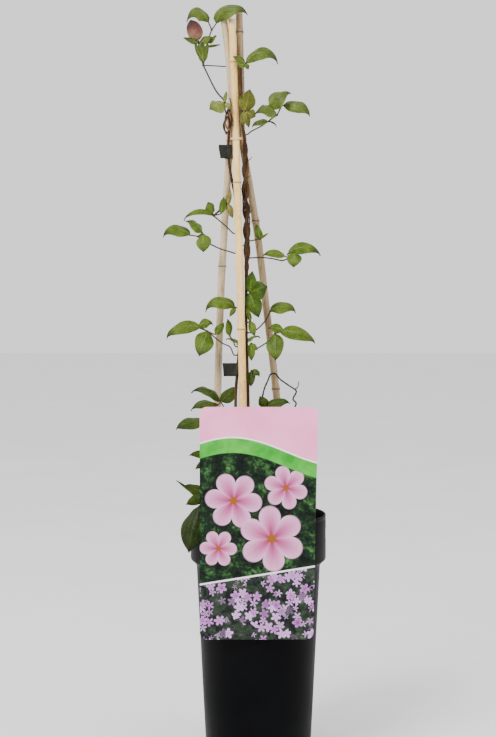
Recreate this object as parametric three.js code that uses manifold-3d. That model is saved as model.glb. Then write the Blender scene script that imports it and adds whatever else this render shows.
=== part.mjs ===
// A young clematis in a tall black pot, trained up three bamboo canes, with its picture label hung on the
// rim. Millimetres, +Z up. The origin is the centre of the pot's underside, and the label faces -Y.
import * as THREE from "three";
import { mergeVertices } from "three/addons/utils/BufferGeometryUtils.js";
import Module from "manifold-3d";

const wasm = await Module();
wasm.setup();

// ---------------------------------------------------------------- driving dimensions

const GAP = 0.35; // left free wherever two pieces touch
const BELT_GAP = 0.5; // the same for a belt of straight facets round a cane

const POT = {
  height: 230,
  baseRadius: 50,
  bodyTopRadius: 59.6,
  rimRadius: 65,
  collarHeight: 43,
  wall: 1.7,
  floor: 2.4,
  segments: 30,
};
const DRAIN = { count: 6, radius: 4, ring: 34 };
const GRIP = { count: 8, width: 19, height: 12, depth: 1, middle: 211 };
const SOIL_TOP = 214;

// Each cane is a list of points from its foot in the soil to its top. The tie bends all three together.
const CANE = { footRadius: 3.7, topRadius: 3.35, nodeSwell: 0.55, nodeHalfLength: 2.2 };
const TIE_HEIGHT = 590;
const CANES = {
  left: [[-43, 12.5, 108], [-41.5, 10.5, 212], [-39, 8.5, 357], [-36, 7, 445], [-32, 5, 517],
    [-27.4, 3, TIE_HEIGHT], [-26.4, 4.6, 640], [-28.2, 4.4, 665], [-33.2, 3.6, 706]],
  front: [[-11, -42, 106], [-12.5, -36, 212], [-14.6, -27.5, 340], [-17, -20, 445], [-19.6, -11.5, 521],
    [-21.4, -3, TIE_HEIGHT], [-22.8, -2.8, 640], [-25.5, -2.8, 705]],
  right: [[32, 19, 110], [26.5, 16.5, 235], [17.4, 14, 345], [6.5, 11.5, 438], [0, 9.5, 493],
    [-8.2, 6, 545], [-15.5, 3.4, TIE_HEIGHT], [-16.6, 3.6, 640], [-18.6, 4, 713.4]],
};
const CANE_NODES = { left: [244, 341, 468, 612], front: [262, 408, 548, 664], right: [232, 349, 512, 694] };
const CANE_BENDS = [558, 571, 585, TIE_HEIGHT, 600, 661]; // where the canes turn most
const TIE = { band: 2.6, thickness: 1.1 };
const TAPE = { thickness: 0.8, flagThickness: 1.2, stemRadius: 1.45, flagRoot: [-1.4, -1.8] };
const TAPE_UPPER = { bottom: 571, height: 13, flagTip: [-37.3, -7.2], cane: "left" };
const TAPE_LOWER = { bottom: 363, height: 12.5, flagTip: [-33.4, -20.5] };

const BINE_RADIUS = 1.5;
const BINE_LEFT = [[-17, -25, 182], [-18.5, -24, 250], [-21.5, -20.5, 320], [-21.2, -19.5, 350],
  [-19, -18.8, 378], [-17, -14.5, 430], [-19.5, -6.5, 500], [-22.5, -3.2, 535], [-26.4, -3.5, 556],
  [-28.4, -4.8, 572], [-28.6, -5.6, 590], [-27.5, -4.4, 604], [-28.6, -4.4, 619]];
const BINE_RIGHT = [[-6, -14, 180], [-9, -13.5, 300], [-10, -12.5, 353], [-11.6, -10.5, 416],
  [-11, -9, 462], [-11, -7, 500], [-12.4, -5, 545], [-13, -4.4, 589], [-15.6, -4.5, 606],
  [-16.3, -4.3, 635], [-17, -4.5, 662]];
const STEM_LOOPS = [
  { radius: 0.75,
    route: [[-27.6, -4.6, 613], [-31, -5.5, 609], [-33.5, -5, 603], [-32, -6, 597.5], [-28, -5, 595]] },
  { radius: 1, route: [[-28, -4.6, 616], [-25.7, -6.8, 611], [-25.6, -7.2, 604.5], [-27.6, -5.4, 598]] },
];
const TWINE = { from: 462, to: 588, radius: 2.5, turns: 3.2, partnerRadius: 1.6 };

const PETIOLE_RADIUS = 0.8;
const STALKLET_RADIUS = 0.8;
const TENDRIL_RADIUS = 0.6;
const HUB_RADIUS = 1.6; // the small knuckle where a leaf's stalklets part
const BLADE_THICKNESS = 0.8;
// Half the blade's width along its length, as shares of its widest half.
const BLADE_OUTLINE = [[0, 0], [0.1, 0.58], [0.25, 0.95], [0.42, 1], [0.62, 0.78], [0.81, 0.36], [1, 0]];
const SMALL_OUTLINE = [[0, 0], [0.15, 0.74], [0.4, 1], [0.72, 0.58], [1, 0]]; // the same for a small blade
const SMALL_BLADE = 4.7; // the half width below which a blade counts as small
const BLADE_LEAST = 0.4; // half the width of a blade's root and point
const BLADE_DROOP = 26; // degrees that each half of a blade hangs from its midrib
const BLADE_WAVE = 0.18; // radians that the margins rise and fall

// The tilts are in degrees. The profile is half the bud's outline, as [radius, height].
const BUD = { ribs: 4, swell: 0.09, tiltForward: 6, tiltLeft: 22,
  profile: [[0, 0], [2.4, 0.4], [5.8, 3.2], [7.4, 7.5], [7, 12.9], [5.2, 16.8], [2.6, 19.4], [0, 20.5]] };

const LABEL = { left: -53.7, rightTop: 54.8, rightBottom: 50.4, bottom: 124, top: 338, corner: 6.5,
  thickness: 0.8, lean: 1.3 };
const TONGUE = { width: 26, thickness: 1.2, tip: 193, lean: 0.055, rise: 1.6, front: -66.8, back: -60.2 };

const SIMPLE = 0.14; // joined surfaces are thinned out where that moves them by less than this

const COLOUR = {
  pot: 0x18191c, soil: 0x3a2a1f, caneLeft: 0xb59d82, caneFront: 0xe2c8a4, caneRight: 0x9c8468,
  tie: 0xecd0b0, tape: 0x33342b, bine: 0x59371f, shoot: 0x6c6a4a, bud: 0xa8695c, twig: 0x3d4747,
  label: 0xe6a9c9, leafTop: 0x7f8a4f, leafMiddle: 0x6c8a3a, leafLow: 0x3f5c23,
};

// ---------------------------------------------------------------- solids

const at = (p) => new THREE.Vector3(...p);
const radians = THREE.MathUtils.degToRad;

// A small repeatable source of random numbers from 0 to 1.
function randomSource(seed) {
  let state = seed;
  return () => {
    state = (state * 1664525 + 1013904223) % 4294967296;
    return state / 4294967296;
  };
}

function solidOf(geometry) {
  const bare = geometry.clone();
  bare.deleteAttribute("normal");
  bare.deleteAttribute("uv");
  const merged = mergeVertices(bare, 1e-4);
  return new wasm.Manifold(new wasm.Mesh({
    numProp: 3,
    vertProperties: Float32Array.from(merged.attributes.position.array),
    triVerts: Uint32Array.from(merged.index.array),
  }));
}

function geometryOf(solid) {
  const mesh = solid.getMesh();
  const geometry = new THREE.BufferGeometry();
  geometry.setAttribute("position", new THREE.BufferAttribute(mesh.vertProperties, 3));
  geometry.setIndex(new THREE.BufferAttribute(mesh.triVerts, 1));
  geometry.computeVertexNormals();
  return geometry;
}

const fuse = (solids) => wasm.Manifold.union(solids).simplify(SIMPLE);

function meshOf(name, solid, colour, roughness = 0.6) {
  // Joining can leave a bubble smaller than a grain of sand, which is dropped. Nothing larger may come loose.
  const [whole, ...scraps] = solid.decompose().sort((a, b) => b.volume() - a.volume());
  if (scraps.some((scrap) => Math.abs(scrap.volume()) > 0.01)) throw new Error(`${name} falls into pieces`);
  const material = new THREE.MeshStandardMaterial({ color: colour, roughness, metalness: 0 });
  const mesh = new THREE.Mesh(geometryOf(whole), material);
  mesh.name = name;
  return mesh;
}

// A solid of revolution about Z from a profile of [radius, height] points that starts and ends on the axis.
function turned(profile, segments) {
  const points = profile.map(([r, z]) => new THREE.Vector2(r, z));
  return new THREE.LatheGeometry(points, segments).rotateX(Math.PI / 2);
}

const evenly = (count) => Array.from({ length: count + 1 }, (_, i) => i / count);

// A round rod along a smooth curve, capped at both ends. The radius may change along it, from 0 to 1.
function rod(points, radius, { sides = 6, stations = evenly(3 * points.length) } = {}) {
  const curve = new THREE.CatmullRomCurve3(points.map(at), false, "centripetal");
  const radiusAt = typeof radius === "function" ? radius : () => radius;
  const positions = [];
  let across = Math.abs(curve.getTangentAt(0).z) > 0.7 ? at([1, 0, 0]) : at([0, 0, 1]);
  for (const u of stations) {
    const along = curve.getTangentAt(u);
    across = across.clone().addScaledVector(along, -across.dot(along)).normalize();
    const other = along.clone().cross(across);
    for (let j = 0; j < sides; j++) {
      const angle = (2 * Math.PI * j) / sides;
      const p = curve.getPointAt(u)
        .addScaledVector(across, Math.cos(angle) * radiusAt(u))
        .addScaledVector(other, Math.sin(angle) * radiusAt(u));
      positions.push(p.x, p.y, p.z);
    }
  }
  const index = [];
  const last = (stations.length - 1) * sides;
  for (let j = 0; j < sides; j++) {
    const next = (j + 1) % sides;
    for (let ring = 0; ring < last; ring += sides) {
      index.push(ring + j, ring + next, ring + sides + next, ring + j, ring + sides + next, ring + sides + j);
    }
    if (j > 0 && j < sides - 1) index.push(0, next, j, last, last + j, last + next);
  }
  const geometry = new THREE.BufferGeometry();
  geometry.setAttribute("position", new THREE.Float32BufferAttribute(positions, 3));
  geometry.setIndex(index);
  return geometry;
}

// ---------------------------------------------------------------- pot and soil

function potWallRadius(z) {
  return POT.baseRadius + ((POT.bodyTopRadius - POT.baseRadius) * z) / (POT.height - POT.collarHeight);
}

function makePot() {
  const collar = POT.height - POT.collarHeight;
  const inner = POT.rimRadius - POT.wall;
  const innerBody = POT.bodyTopRadius - POT.wall;
  const shell = solidOf(turned([
    [0, 0], [POT.baseRadius - 2, 0], [POT.baseRadius, 2], [potWallRadius(collar - 6), collar - 6],
    [POT.rimRadius - 1.2, collar], [POT.rimRadius, collar + 1.5], [POT.rimRadius, POT.height - 1],
    [POT.rimRadius - 0.5, POT.height], [inner + 0.4, POT.height], [inner, POT.height - 0.6],
    [inner, collar + 3], [innerBody, collar - 2.5], [POT.baseRadius - POT.wall - 0.3, POT.floor + 0.8],
    [POT.baseRadius - POT.wall - 1.2, POT.floor], [0, POT.floor],
  ], POT.segments));
  const cuts = [];
  for (let i = 0; i < DRAIN.count; i++) {
    const angle = (2 * Math.PI * (i + 0.5)) / DRAIN.count;
    const drill = new THREE.CylinderGeometry(DRAIN.radius, DRAIN.radius, 3 * POT.floor, 10);
    drill.rotateX(Math.PI / 2).translate(DRAIN.ring * Math.cos(angle), DRAIN.ring * Math.sin(angle), 0);
    cuts.push(solidOf(drill));
  }
  for (let i = 0; i < GRIP.count; i++) {
    const pocket = new THREE.BoxGeometry(2 * GRIP.depth, GRIP.width, GRIP.height);
    pocket.translate(POT.rimRadius, 0, GRIP.middle).rotateZ((2 * Math.PI * i) / GRIP.count);
    cuts.push(solidOf(pocket));
  }
  return meshOf("pot", shell.subtract(fuse(cuts)), COLOUR.pot, 0.45);
}

// A gently uneven surface, as watered growing mix settles.
function soilRelief(x, y) {
  return 1.3 * Math.sin(0.17 * x + 0.8) * Math.cos(0.14 * y) + 0.8 * Math.sin(0.31 * y - 0.23 * x);
}

function makeSoil(standing) {
  const collar = POT.height - POT.collarHeight;
  const inner = POT.rimRadius - POT.wall - GAP;
  const innerBody = POT.bodyTopRadius - POT.wall - GAP;
  const foot = POT.baseRadius - POT.wall - 1.2 - GAP;
  const body = turned([
    [0, POT.floor + GAP], [foot, POT.floor + GAP], [innerBody, collar - 2.2], [inner, collar + 3.4],
    [inner, SOIL_TOP - 2], [inner - 3, SOIL_TOP], [42, SOIL_TOP], [22, SOIL_TOP], [0, SOIL_TOP],
  ], 24);
  const position = body.attributes.position;
  for (let i = 0; i < position.count; i++) {
    if (position.getZ(i) > SOIL_TOP - 0.5) {
      position.setZ(i, SOIL_TOP + soilRelief(position.getX(i), position.getY(i)));
    }
  }
  return meshOf("soil", solidOf(body).subtract(fuse(standing)), COLOUR.soil, 0.95);
}

// ---------------------------------------------------------------- canes, tie and tapes

function caneCurve(name) {
  return new THREE.CatmullRomCurve3(CANES[name].map(at), false, "centripetal");
}

// The point of a rising curve at a height, by halving.
function pointAtHeight(curve, height) {
  let low = 0;
  let high = 1;
  for (let i = 0; i < 30; i++) {
    const middle = (low + high) / 2;
    if (curve.getPointAt(middle).z < height) low = middle;
    else high = middle;
  }
  return { u: low, point: curve.getPointAt(low) };
}

function caneRadius(name, u) {
  const curve = caneCurve(name);
  const plain = CANE.footRadius + (CANE.topRadius - CANE.footRadius) * u;
  const onNode = CANE_NODES[name].some((height) => Math.abs(u - pointAtHeight(curve, height).u) < 1e-6);
  return plain + (onNode ? CANE.nodeSwell : 0);
}

function caneStations(name) {
  const curve = caneCurve(name);
  const length = curve.getLength();
  const stations = evenly(8);
  for (const height of CANE_BENDS) stations.push(pointAtHeight(curve, height).u);
  for (const height of CANE_NODES[name]) {
    const { u } = pointAtHeight(curve, height);
    stations.push(u - CANE.nodeHalfLength / length, u, u + CANE.nodeHalfLength / length);
  }
  return stations.sort((a, b) => a - b);
}

function makeCane(name, colour) {
  const geometry = rod(CANES[name], (u) => caneRadius(name, u), { sides: 8, stations: caneStations(name) });
  return meshOf(`cane_${name}`, solidOf(geometry), colour, 0.55);
}

// The tool that leaves a hole in the soil round a stem or cane.
function holeFor(points, radius) {
  const foot = at(points[0]);
  const next = at(points[1]);
  foot.addScaledVector(foot.clone().sub(next).normalize(), GAP);
  const route = [foot.toArray(), ...points.slice(1)];
  return solidOf(rod(route, radius + 2 * GAP, { sides: 7, stations: evenly(24) }));
}

// The outline of a belt drawn tight round circles [x, y, radius], seen from above.
function beltOutline(circles, offset) {
  const points = circles.flatMap(([x, y, radius]) => evenly(12).slice(1).map((u) => {
    const angle = 2 * Math.PI * u;
    return [x + (radius + offset) * Math.cos(angle), y + (radius + offset) * Math.sin(angle)];
  }));
  points.sort((a, b) => a[0] - b[0] || a[1] - b[1]);
  const turn = (a, b, c) => (b[0] - a[0]) * (c[1] - a[1]) - (b[1] - a[1]) * (c[0] - a[0]);
  const halfHull = (list) => {
    const hull = [];
    for (const p of list) {
      while (hull.length > 1 && turn(hull.at(-2), hull.at(-1), p) <= 0) hull.pop();
      hull.push(p);
    }
    return hull.slice(0, -1);
  };
  return [...halfHull(points), ...halfHull([...points].reverse())].map(([x, y]) => new THREE.Vector2(x, y));
}

function belt(circles, thickness, height) {
  const shape = new THREE.Shape(beltOutline(circles, BELT_GAP + thickness));
  shape.holes.push(new THREE.Path(beltOutline(circles, BELT_GAP)));
  return solidOf(new THREE.ExtrudeGeometry(shape, { depth: height, bevelEnabled: false }));
}

// A tape stands square to the cane or stem it holds, so it leans as that does.
function leaned(solid, curve, bottom, height) {
  const low = pointAtHeight(curve, bottom).point;
  const high = pointAtHeight(curve, bottom + height).point;
  const slopeX = (high.x - low.x) / height;
  const slopeY = (high.y - low.y) / height;
  const shear = (p) => {
    p[0] += slopeX * p[2];
    p[1] += slopeY * p[2];
  };
  return solid.translate([0, 0, -height / 2]).warp(shear).translate([0, 0, bottom + height / 2]);
}

function sectionAt(curve, height, radius) {
  const { point } = pointAtHeight(curve, height);
  return [point.x, point.y, radius];
}

function makeTie() {
  const radius = CANE.topRadius + 0.1;
  const circles = Object.keys(CANES).map((name) => sectionAt(caneCurve(name), TIE_HEIGHT, radius));
  const band = belt(circles, TIE.thickness, TIE.band).translate([0, 0, TIE_HEIGHT - TIE.band / 2]);
  return meshOf("cane_tie", band, COLOUR.tie);
}

// A tying tape round the left stem, and a cane where it has one, its two ends pressed together as a flag.
function makeTape(name, { bottom, height, flagTip, cane }) {
  const stem = stemCurve(BINE_LEFT);
  const middle = bottom + height / 2;
  const circles = [sectionAt(stem, middle, TAPE.stemRadius)];
  if (cane) circles.push(sectionAt(caneCurve(cane), middle, CANE.topRadius + 0.05));
  const root = new THREE.Vector2(circles[0][0] + TAPE.flagRoot[0], circles[0][1] + TAPE.flagRoot[1]);
  const tip = new THREE.Vector2(...flagTip);
  const flag = tip.clone().sub(root);
  const plate = new THREE.BoxGeometry(flag.length(), TAPE.flagThickness, height);
  plate.rotateZ(flag.angle()).translate((root.x + tip.x) / 2, (root.y + tip.y) / 2, height / 2);
  const tape = belt(circles, TAPE.thickness, height).add(solidOf(plate));
  return meshOf(name, leaned(tape, cane ? caneCurve(cane) : stem, bottom, height), COLOUR.tape);
}

// ---------------------------------------------------------------- stems

function stemCurve(points) {
  return new THREE.CatmullRomCurve3(points.map(at), false, "centripetal");
}

// Part of a stem's route, wound round it, for two stems that climb round each other.
function twined(points, phase) {
  const curve = stemCurve(points);
  const steps = 26;
  return Array.from({ length: steps + 1 }, (_, i) => {
    const share = i / steps;
    const { point } = pointAtHeight(curve, TWINE.from + share * (TWINE.to - TWINE.from));
    const angle = phase + 2 * Math.PI * TWINE.turns * share;
    const reach = TWINE.radius * Math.sin(Math.PI * share) ** 0.35;
    return [point.x + reach * Math.cos(angle), point.y + reach * Math.sin(angle), point.z];
  });
}

function rightStemPoints() {
  const below = BINE_RIGHT.filter((p) => p[2] < TWINE.from - 5);
  const above = BINE_RIGHT.filter((p) => p[2] > TWINE.to + 5);
  return [...below, ...twined(BINE_RIGHT, 0), ...above];
}

function makeRightBine() {
  const climber = rod(rightStemPoints(), (u) => BINE_RADIUS - 0.2 * u, { sides: 5, stations: evenly(38) });
  const partner = rod(twined(BINE_RIGHT, Math.PI), TWINE.partnerRadius, { sides: 5, stations: evenly(24) });
  return meshOf("bine_right", solidOf(climber).add(solidOf(partner)), COLOUR.bine, 0.75);
}

// The left stem, with two wiry loops of leaf stalk that clasp it above the tie.
function makeLeftBine() {
  const stem = rod(BINE_LEFT, (u) => BINE_RADIUS - 0.3 * u, { sides: 5, stations: evenly(20) });
  const loops = STEM_LOOPS.map(({ route, radius }) => {
    return solidOf(rod(route, radius, { sides: 5, stations: evenly(8) }));
  });
  return meshOf("bine_left", wasm.Manifold.union([solidOf(stem), ...loops]), COLOUR.bine, 0.75);
}

const STEM_CURVES = { left: stemCurve(BINE_LEFT), right: stemCurve(rightStemPoints()) };

// ---------------------------------------------------------------- leaves

// The ways that the upper side of a blade may face. A blade that faces up also opens to the front.
const UP = [0, -0.8, 1];
const OPEN = [0, -1, 0.5];
const FRONT = [0, -1, 0.25];
const BACK = [0, 0.4, 1];

// The midrib of one leaflet, which rises towards face and then droops to the tip.
function midribOf({ base, tip, face, arch = 0.25 }) {
  const start = at(base);
  const along = at(tip).sub(start);
  const length = along.length();
  along.normalize();
  const up = at(face).addScaledVector(along, -at(face).dot(along)).normalize();
  const lifted = (share, lift) => start.clone().addScaledVector(along, share * length)
    .addScaledVector(up, lift * length);
  const rising = lifted(0.2, 1.15 * arch);
  const root = start.clone().add(rising.clone().sub(start).setLength(BLADE_LEAST));
  return new THREE.CubicBezierCurve3(root, rising, lifted(0.92, 1.3 * arch), at(tip));
}

// One leaflet: an ovate blade with an even margin, folded along its midrib and drawn out into a point.
function blade(leaflet) {
  const { halfWidth, face, phase = 0 } = leaflet;
  const midrib = midribOf(leaflet);
  const look = at(face === UP ? OPEN : face);
  const outline = halfWidth < SMALL_BLADE ? SMALL_OUTLINE : BLADE_OUTLINE;
  const positions = [];
  outline.forEach(([share, width], i) => {
    const centre = midrib.getPoint(share);
    const along = midrib.getTangent(share);
    const normal = look.clone().addScaledVector(along, -look.dot(along)).normalize();
    const side = along.clone().cross(normal);
    for (const column of [-1, 0, 1]) {
      const reach = Math.abs(column) * Math.max(halfWidth * width, BLADE_LEAST);
      const angle = radians(BLADE_DROOP) + column * BLADE_WAVE * Math.sin(2.4 * i + phase);
      const p = centre.clone()
        .addScaledVector(side, column * reach * Math.cos(angle))
        .addScaledVector(normal, -reach * Math.sin(angle));
      for (const layer of [1, -1]) {
        const q = p.clone().addScaledVector(normal, (layer * BLADE_THICKNESS) / 2);
        positions.push(q.x, q.y, q.z);
      }
    }
  });
  const corner = (row, column, under) => (row * 3 + column) * 2 + under;
  const index = [];
  const last = outline.length - 1;
  for (let row = 0; row < last; row++) {
    for (const column of [0, 1]) {
      const [a, b, c, d] = [[row, column], [row, column + 1], [row + 1, column + 1], [row + 1, column]];
      const top = [a, b, c, d].map(([r, k]) => corner(r, k, 0));
      const low = [a, b, c, d].map(([r, k]) => corner(r, k, 1));
      index.push(top[0], top[1], top[2], top[0], top[2], top[3]);
      index.push(low[0], low[2], low[1], low[0], low[3], low[2]);
    }
    const left = [corner(row, 0, 0), corner(row + 1, 0, 0), corner(row + 1, 0, 1), corner(row, 0, 1)];
    const right = [corner(row, 2, 0), corner(row + 1, 2, 0), corner(row + 1, 2, 1), corner(row, 2, 1)];
    index.push(left[0], left[1], left[2], left[0], left[2], left[3]);
    index.push(right[0], right[2], right[1], right[0], right[3], right[2]);
  }
  for (const column of [0, 1]) {
    const endFace = (row) => [corner(row, column, 0), corner(row, column, 1), corner(row, column + 1, 1),
      corner(row, column + 1, 0)];
    const first = endFace(0);
    const end = endFace(last);
    index.push(first[0], first[1], first[2], first[0], first[2], first[3]);
    index.push(end[0], end[2], end[1], end[0], end[3], end[2]);
  }
  const geometry = new THREE.BufferGeometry();
  geometry.setAttribute("position", new THREE.Float32BufferAttribute(positions, 3));
  geometry.setIndex(index);
  return solidOf(geometry);
}

// The start of a leaf stalk, just clear of the stem it grew from, heading out at an angle in degrees.
function stalkRoot(stem, height, heading) {
  const { point } = pointAtHeight(STEM_CURVES[stem], height);
  const out = at([Math.cos(radians(heading)), Math.sin(radians(heading)), 0]);
  const root = point.clone().addScaledVector(out, BINE_RADIUS + GAP);
  return [root.toArray(), root.clone().addScaledVector(out, 2.5).toArray()];
}

const knuckle = (point) => solidOf(new THREE.OctahedronGeometry(HUB_RADIUS).translate(...point));

function leafletSolids(hub, leaflet, phase) {
  const placed = { base: leaflet.from ?? hub, phase, ...leaflet };
  if (!leaflet.from) return [blade(placed)];
  const into = midribOf(placed).getPoint(0.04).toArray();
  const stalklet = rod([hub, leaflet.from, into], STALKLET_RADIUS, { sides: 4, stations: evenly(2) });
  return [blade(placed), solidOf(stalklet)];
}

// A compound leaf: one stalk from the stem to the hub, where its leaflets part.
function leafSolid(leaf, number) {
  const random = randomSource(101 + number);
  const path = [...stalkRoot(leaf.stem, leaf.height, leaf.heading), ...(leaf.via ?? []), leaf.hub];
  const stalk = solidOf(rod(path, PETIOLE_RADIUS, { sides: 4, stations: evenly(path.length + 1) }));
  const blades = leaf.leaflets.flatMap((leaflet) => leafletSolids(leaf.hub, leaflet, 6.28 * random()));
  return fuse([stalk, knuckle(leaf.hub), ...blades]);
}

// Every compound leaf, from the top of the plant down. A leaflet starts at the hub, or at the end of a
// stalklet that runs from the hub to its from point.
const LEAVES = [
  { name: "leaf_crown_right", colour: COLOUR.leafTop, stem: "right", height: 659, heading: -60,
    hub: [-12, -9, 661.5],
    leaflets: [
      { tip: [18.8, -12, 660], face: UP, halfWidth: 8, arch: 0.48 },
      { tip: [-24.2, -12, 668], face: FRONT, halfWidth: 4, arch: 0.15 },
      { tip: [-20.3, -13, 658], face: FRONT, halfWidth: 3.5, arch: 0.1 },
      { tip: [-9.3, -14, 655], face: FRONT, halfWidth: 2.6, arch: 0.1 },
    ] },
  { name: "leaf_yellow", colour: COLOUR.leafTop, stem: "right", height: 611, heading: -70,
    hub: [-12.5, -11, 615.5],
    leaflets: [
      { tip: [-7.8, -14, 636.5], face: FRONT, halfWidth: 8.5, arch: 0.12 },
      { tip: [-2.5, -14.5, 610], face: FRONT, halfWidth: 6.5, arch: 0.1 },
      { tip: [-9, -14, 599.5], face: FRONT, halfWidth: 4, arch: 0.1 },
    ] },
  { name: "leaf_right_upper", colour: COLOUR.leafTop, stem: "right", height: 594, heading: -30,
    via: [[-7, -8, 596.5], [3.5, -9, 602], [12, -10, 608]], hub: [18, -10.5, 612],
    leaflets: [
      { from: [9.5, -11, 617.5], tip: [31.5, -14, 632], face: [-0.6, -0.9, 0.5], halfWidth: 12, arch: 0.38 },
      { from: [23.4, -10, 621.5], tip: [48.8, -15, 610], face: UP, halfWidth: 8, arch: 0.27 },
      { tip: [-3.5, -18, 611.5], face: [0, -0.9, 0.6], halfWidth: 10, arch: 0.5 },
      { from: [9.3, -11, 606], tip: [-6, -18, 599.5], face: UP, halfWidth: 4, arch: 0.2 },
      { from: [9.5, -10.7, 605.6], tip: [17, -12, 600], face: UP, halfWidth: 1.2, arch: 0.35 },
    ] },
  { name: "leaf_left_upper", colour: COLOUR.leafTop, stem: "left", height: 614, heading: -130,
    hub: [-32.5, -9, 624],
    leaflets: [
      { tip: [-47, -12, 617], face: [-0.1, -0.9, 0.5], halfWidth: 10, arch: 0.22 },
      { tip: [-30.4, -11, 635], face: FRONT, halfWidth: 2.2, arch: 0.1 },
      { tip: [-25.5, -12, 617.5], face: FRONT, halfWidth: 2.8, arch: 0.1 },
    ] },
  { name: "leaf_left_1", colour: COLOUR.leafMiddle, stem: "left", height: 499, heading: 165,
    via: [[-30, -6, 505], [-37, -7, 511]], hub: [-43, -8, 516],
    leaflets: [
      { from: [-43.5, -9, 518], tip: [-48.5, -11, 529], face: [0.3, -0.9, 0.4], halfWidth: 6.5, arch: 0.15 },
      { from: [-35.5, -9.5, 518], tip: [-32.8, -11, 534], face: FRONT, halfWidth: 3.8, arch: 0.12 },
      { from: [-29.8, -8.8, 527.5], tip: [-24.4, -10, 513.5], face: FRONT, halfWidth: 3.9, arch: 0.1 },
      { tip: [-71, -13, 510.5], face: UP, halfWidth: 3.4, arch: 0.32 },
    ] },
  { name: "leaf_left_2", colour: COLOUR.leafMiddle, stem: "left", height: 480, heading: 175,
    via: [[-26, -12.5, 481], [-36, -12.5, 484], [-46, -14, 488.7]], hub: [-57.5, -16, 495.8],
    leaflets: [
      { from: [-53, -15, 499.5], tip: [-69, -17, 510], face: [0.5, -0.7, 0.5], halfWidth: 7.5, arch: 0.3 },
      { from: [-64.5, -17, 497], tip: [-90.3, -20, 494.5], face: UP, halfWidth: 7.5, arch: 0.38 },
      { from: [-51.7, -18, 498], tip: [-52.3, -21, 480.5], face: FRONT, halfWidth: 8, arch: 0.12 },
    ] },
  { name: "leaf_right_0", colour: COLOUR.leafMiddle, stem: "right", height: 492, heading: 20,
    via: [[-3, 0.5, 493]], hub: [2, 1, 494],
    leaflets: [
      { tip: [10, -4, 499], face: UP, halfWidth: 1.6, arch: 0.1 },
      { tip: [-2, 0, 508], face: FRONT, halfWidth: 4.2, arch: 0.08 },
    ] },
  { name: "leaf_right_1", colour: COLOUR.leafMiddle, stem: "right", height: 475.5, heading: 10,
    via: [[4, -4, 476], [15, -7, 474.5], [23.5, -9.5, 473]], hub: [29.3, -11, 475.5],
    leaflets: [
      { from: [25.5, -12, 477], tip: [4, -15, 477], face: UP, halfWidth: 4.8, arch: 0.22 },
      { from: [28, -12, 479.5], tip: [59.2, -16, 477], face: UP, halfWidth: 7, arch: 0.34 },
      { from: [34.5, -15, 481], tip: [33.5, -19, 466], face: FRONT, halfWidth: 7.8, arch: 0.15 },
    ] },
  { name: "leaf_inner_1", colour: COLOUR.leafMiddle, stem: "right", height: 441, heading: -50,
    hub: [-8, -15, 442],
    leaflets: [
      { tip: [-5.6, -17, 463], face: FRONT, halfWidth: 6, arch: 0.1 },
      { tip: [9, -21, 448], face: FRONT, halfWidth: 10.5, arch: 0.15 },
      { tip: [0.5, -20, 418.5], face: FRONT, halfWidth: 8.5, arch: 0.12 },
    ] },
  { name: "leaf_inner_2", colour: COLOUR.leafMiddle, stem: "right", height: 414, heading: -65,
    hub: [-7.5, -16, 415],
    leaflets: [
      { tip: [-3.5, -20, 401], face: FRONT, halfWidth: 4.2, arch: 0.1 },
      { tip: [-11, -22.5, 429], face: FRONT, halfWidth: 2.6, arch: 0.1 },
    ] },
  { name: "leaf_left_3", colour: COLOUR.leafMiddle, stem: "left", height: 428, heading: 170,
    hub: [-22, -14.5, 428],
    leaflets: [
      { tip: [-50, -18, 424], face: UP, halfWidth: 7.8, arch: 0.42 },
      { tip: [-27.3, -19, 419.5], face: FRONT, halfWidth: 2.8, arch: 0.12 },
    ] },
  { name: "leaf_left_4", colour: COLOUR.leafMiddle, stem: "left", height: 383, heading: 168,
    via: [[-27, -14, 390.5], [-34.6, -13, 394.2]], hub: [-48.5, -14, 405.5],
    leaflets: [
      { from: [-55.1, -15, 409], tip: [-87, -20, 398], face: UP, halfWidth: 7.5, arch: 0.29 },
      { from: [-57, -11, 409], tip: [-43.5, -7, 411], face: UP, halfWidth: 5.5, arch: 0.4 },
      { tip: [-56, -24, 382], face: FRONT, halfWidth: 10.5, arch: 0.12 },
      { from: [-41, -14, 402.5], tip: [-32.7, -13, 413.5], face: [0.3, -1, 0.3], halfWidth: 4.5, arch: 0.1 },
    ] },
  { name: "leaf_left_5", colour: COLOUR.leafMiddle, stem: "left", height: 391, heading: 140,
    via: [[-24, -11, 396]], hub: [-27.3, -10.5, 401],
    leaflets: [
      { tip: [-29.5, -11.5, 417.5], face: [0.4, -1, 0.2], halfWidth: 4.2, arch: 0.15 },
    ] },
  { name: "leaf_right_2", colour: COLOUR.leafMiddle, stem: "right", height: 404, heading: 5,
    via: [[1, -4, 409], [7.5, -3, 416.5]], hub: [11.5, -2.5, 424],
    leaflets: [
      { tip: [36, -6, 422.5], face: UP, halfWidth: 7.5, arch: 0.36 },
    ] },
  { name: "leaf_right_3", colour: COLOUR.leafMiddle, stem: "right", height: 386, heading: 10,
    via: [[1, -8, 390], [8, -7.5, 394.5]], hub: [16, -7, 403],
    leaflets: [
      { from: [20.5, -7.5, 404.5], tip: [54, -13, 393.5], face: UP, halfWidth: 8, arch: 0.22 },
      { from: [24, -8.5, 405.5], tip: [9, -9, 407.5], face: UP, halfWidth: 5.5, arch: 0.24 },
      { tip: [16.5, -15, 377.5], face: FRONT, halfWidth: 9.5, arch: 0.12 },
    ] },
  { name: "leaf_inner_3", colour: COLOUR.leafMiddle, stem: "right", height: 388, heading: -50,
    hub: [-6.8, -17, 394],
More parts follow.
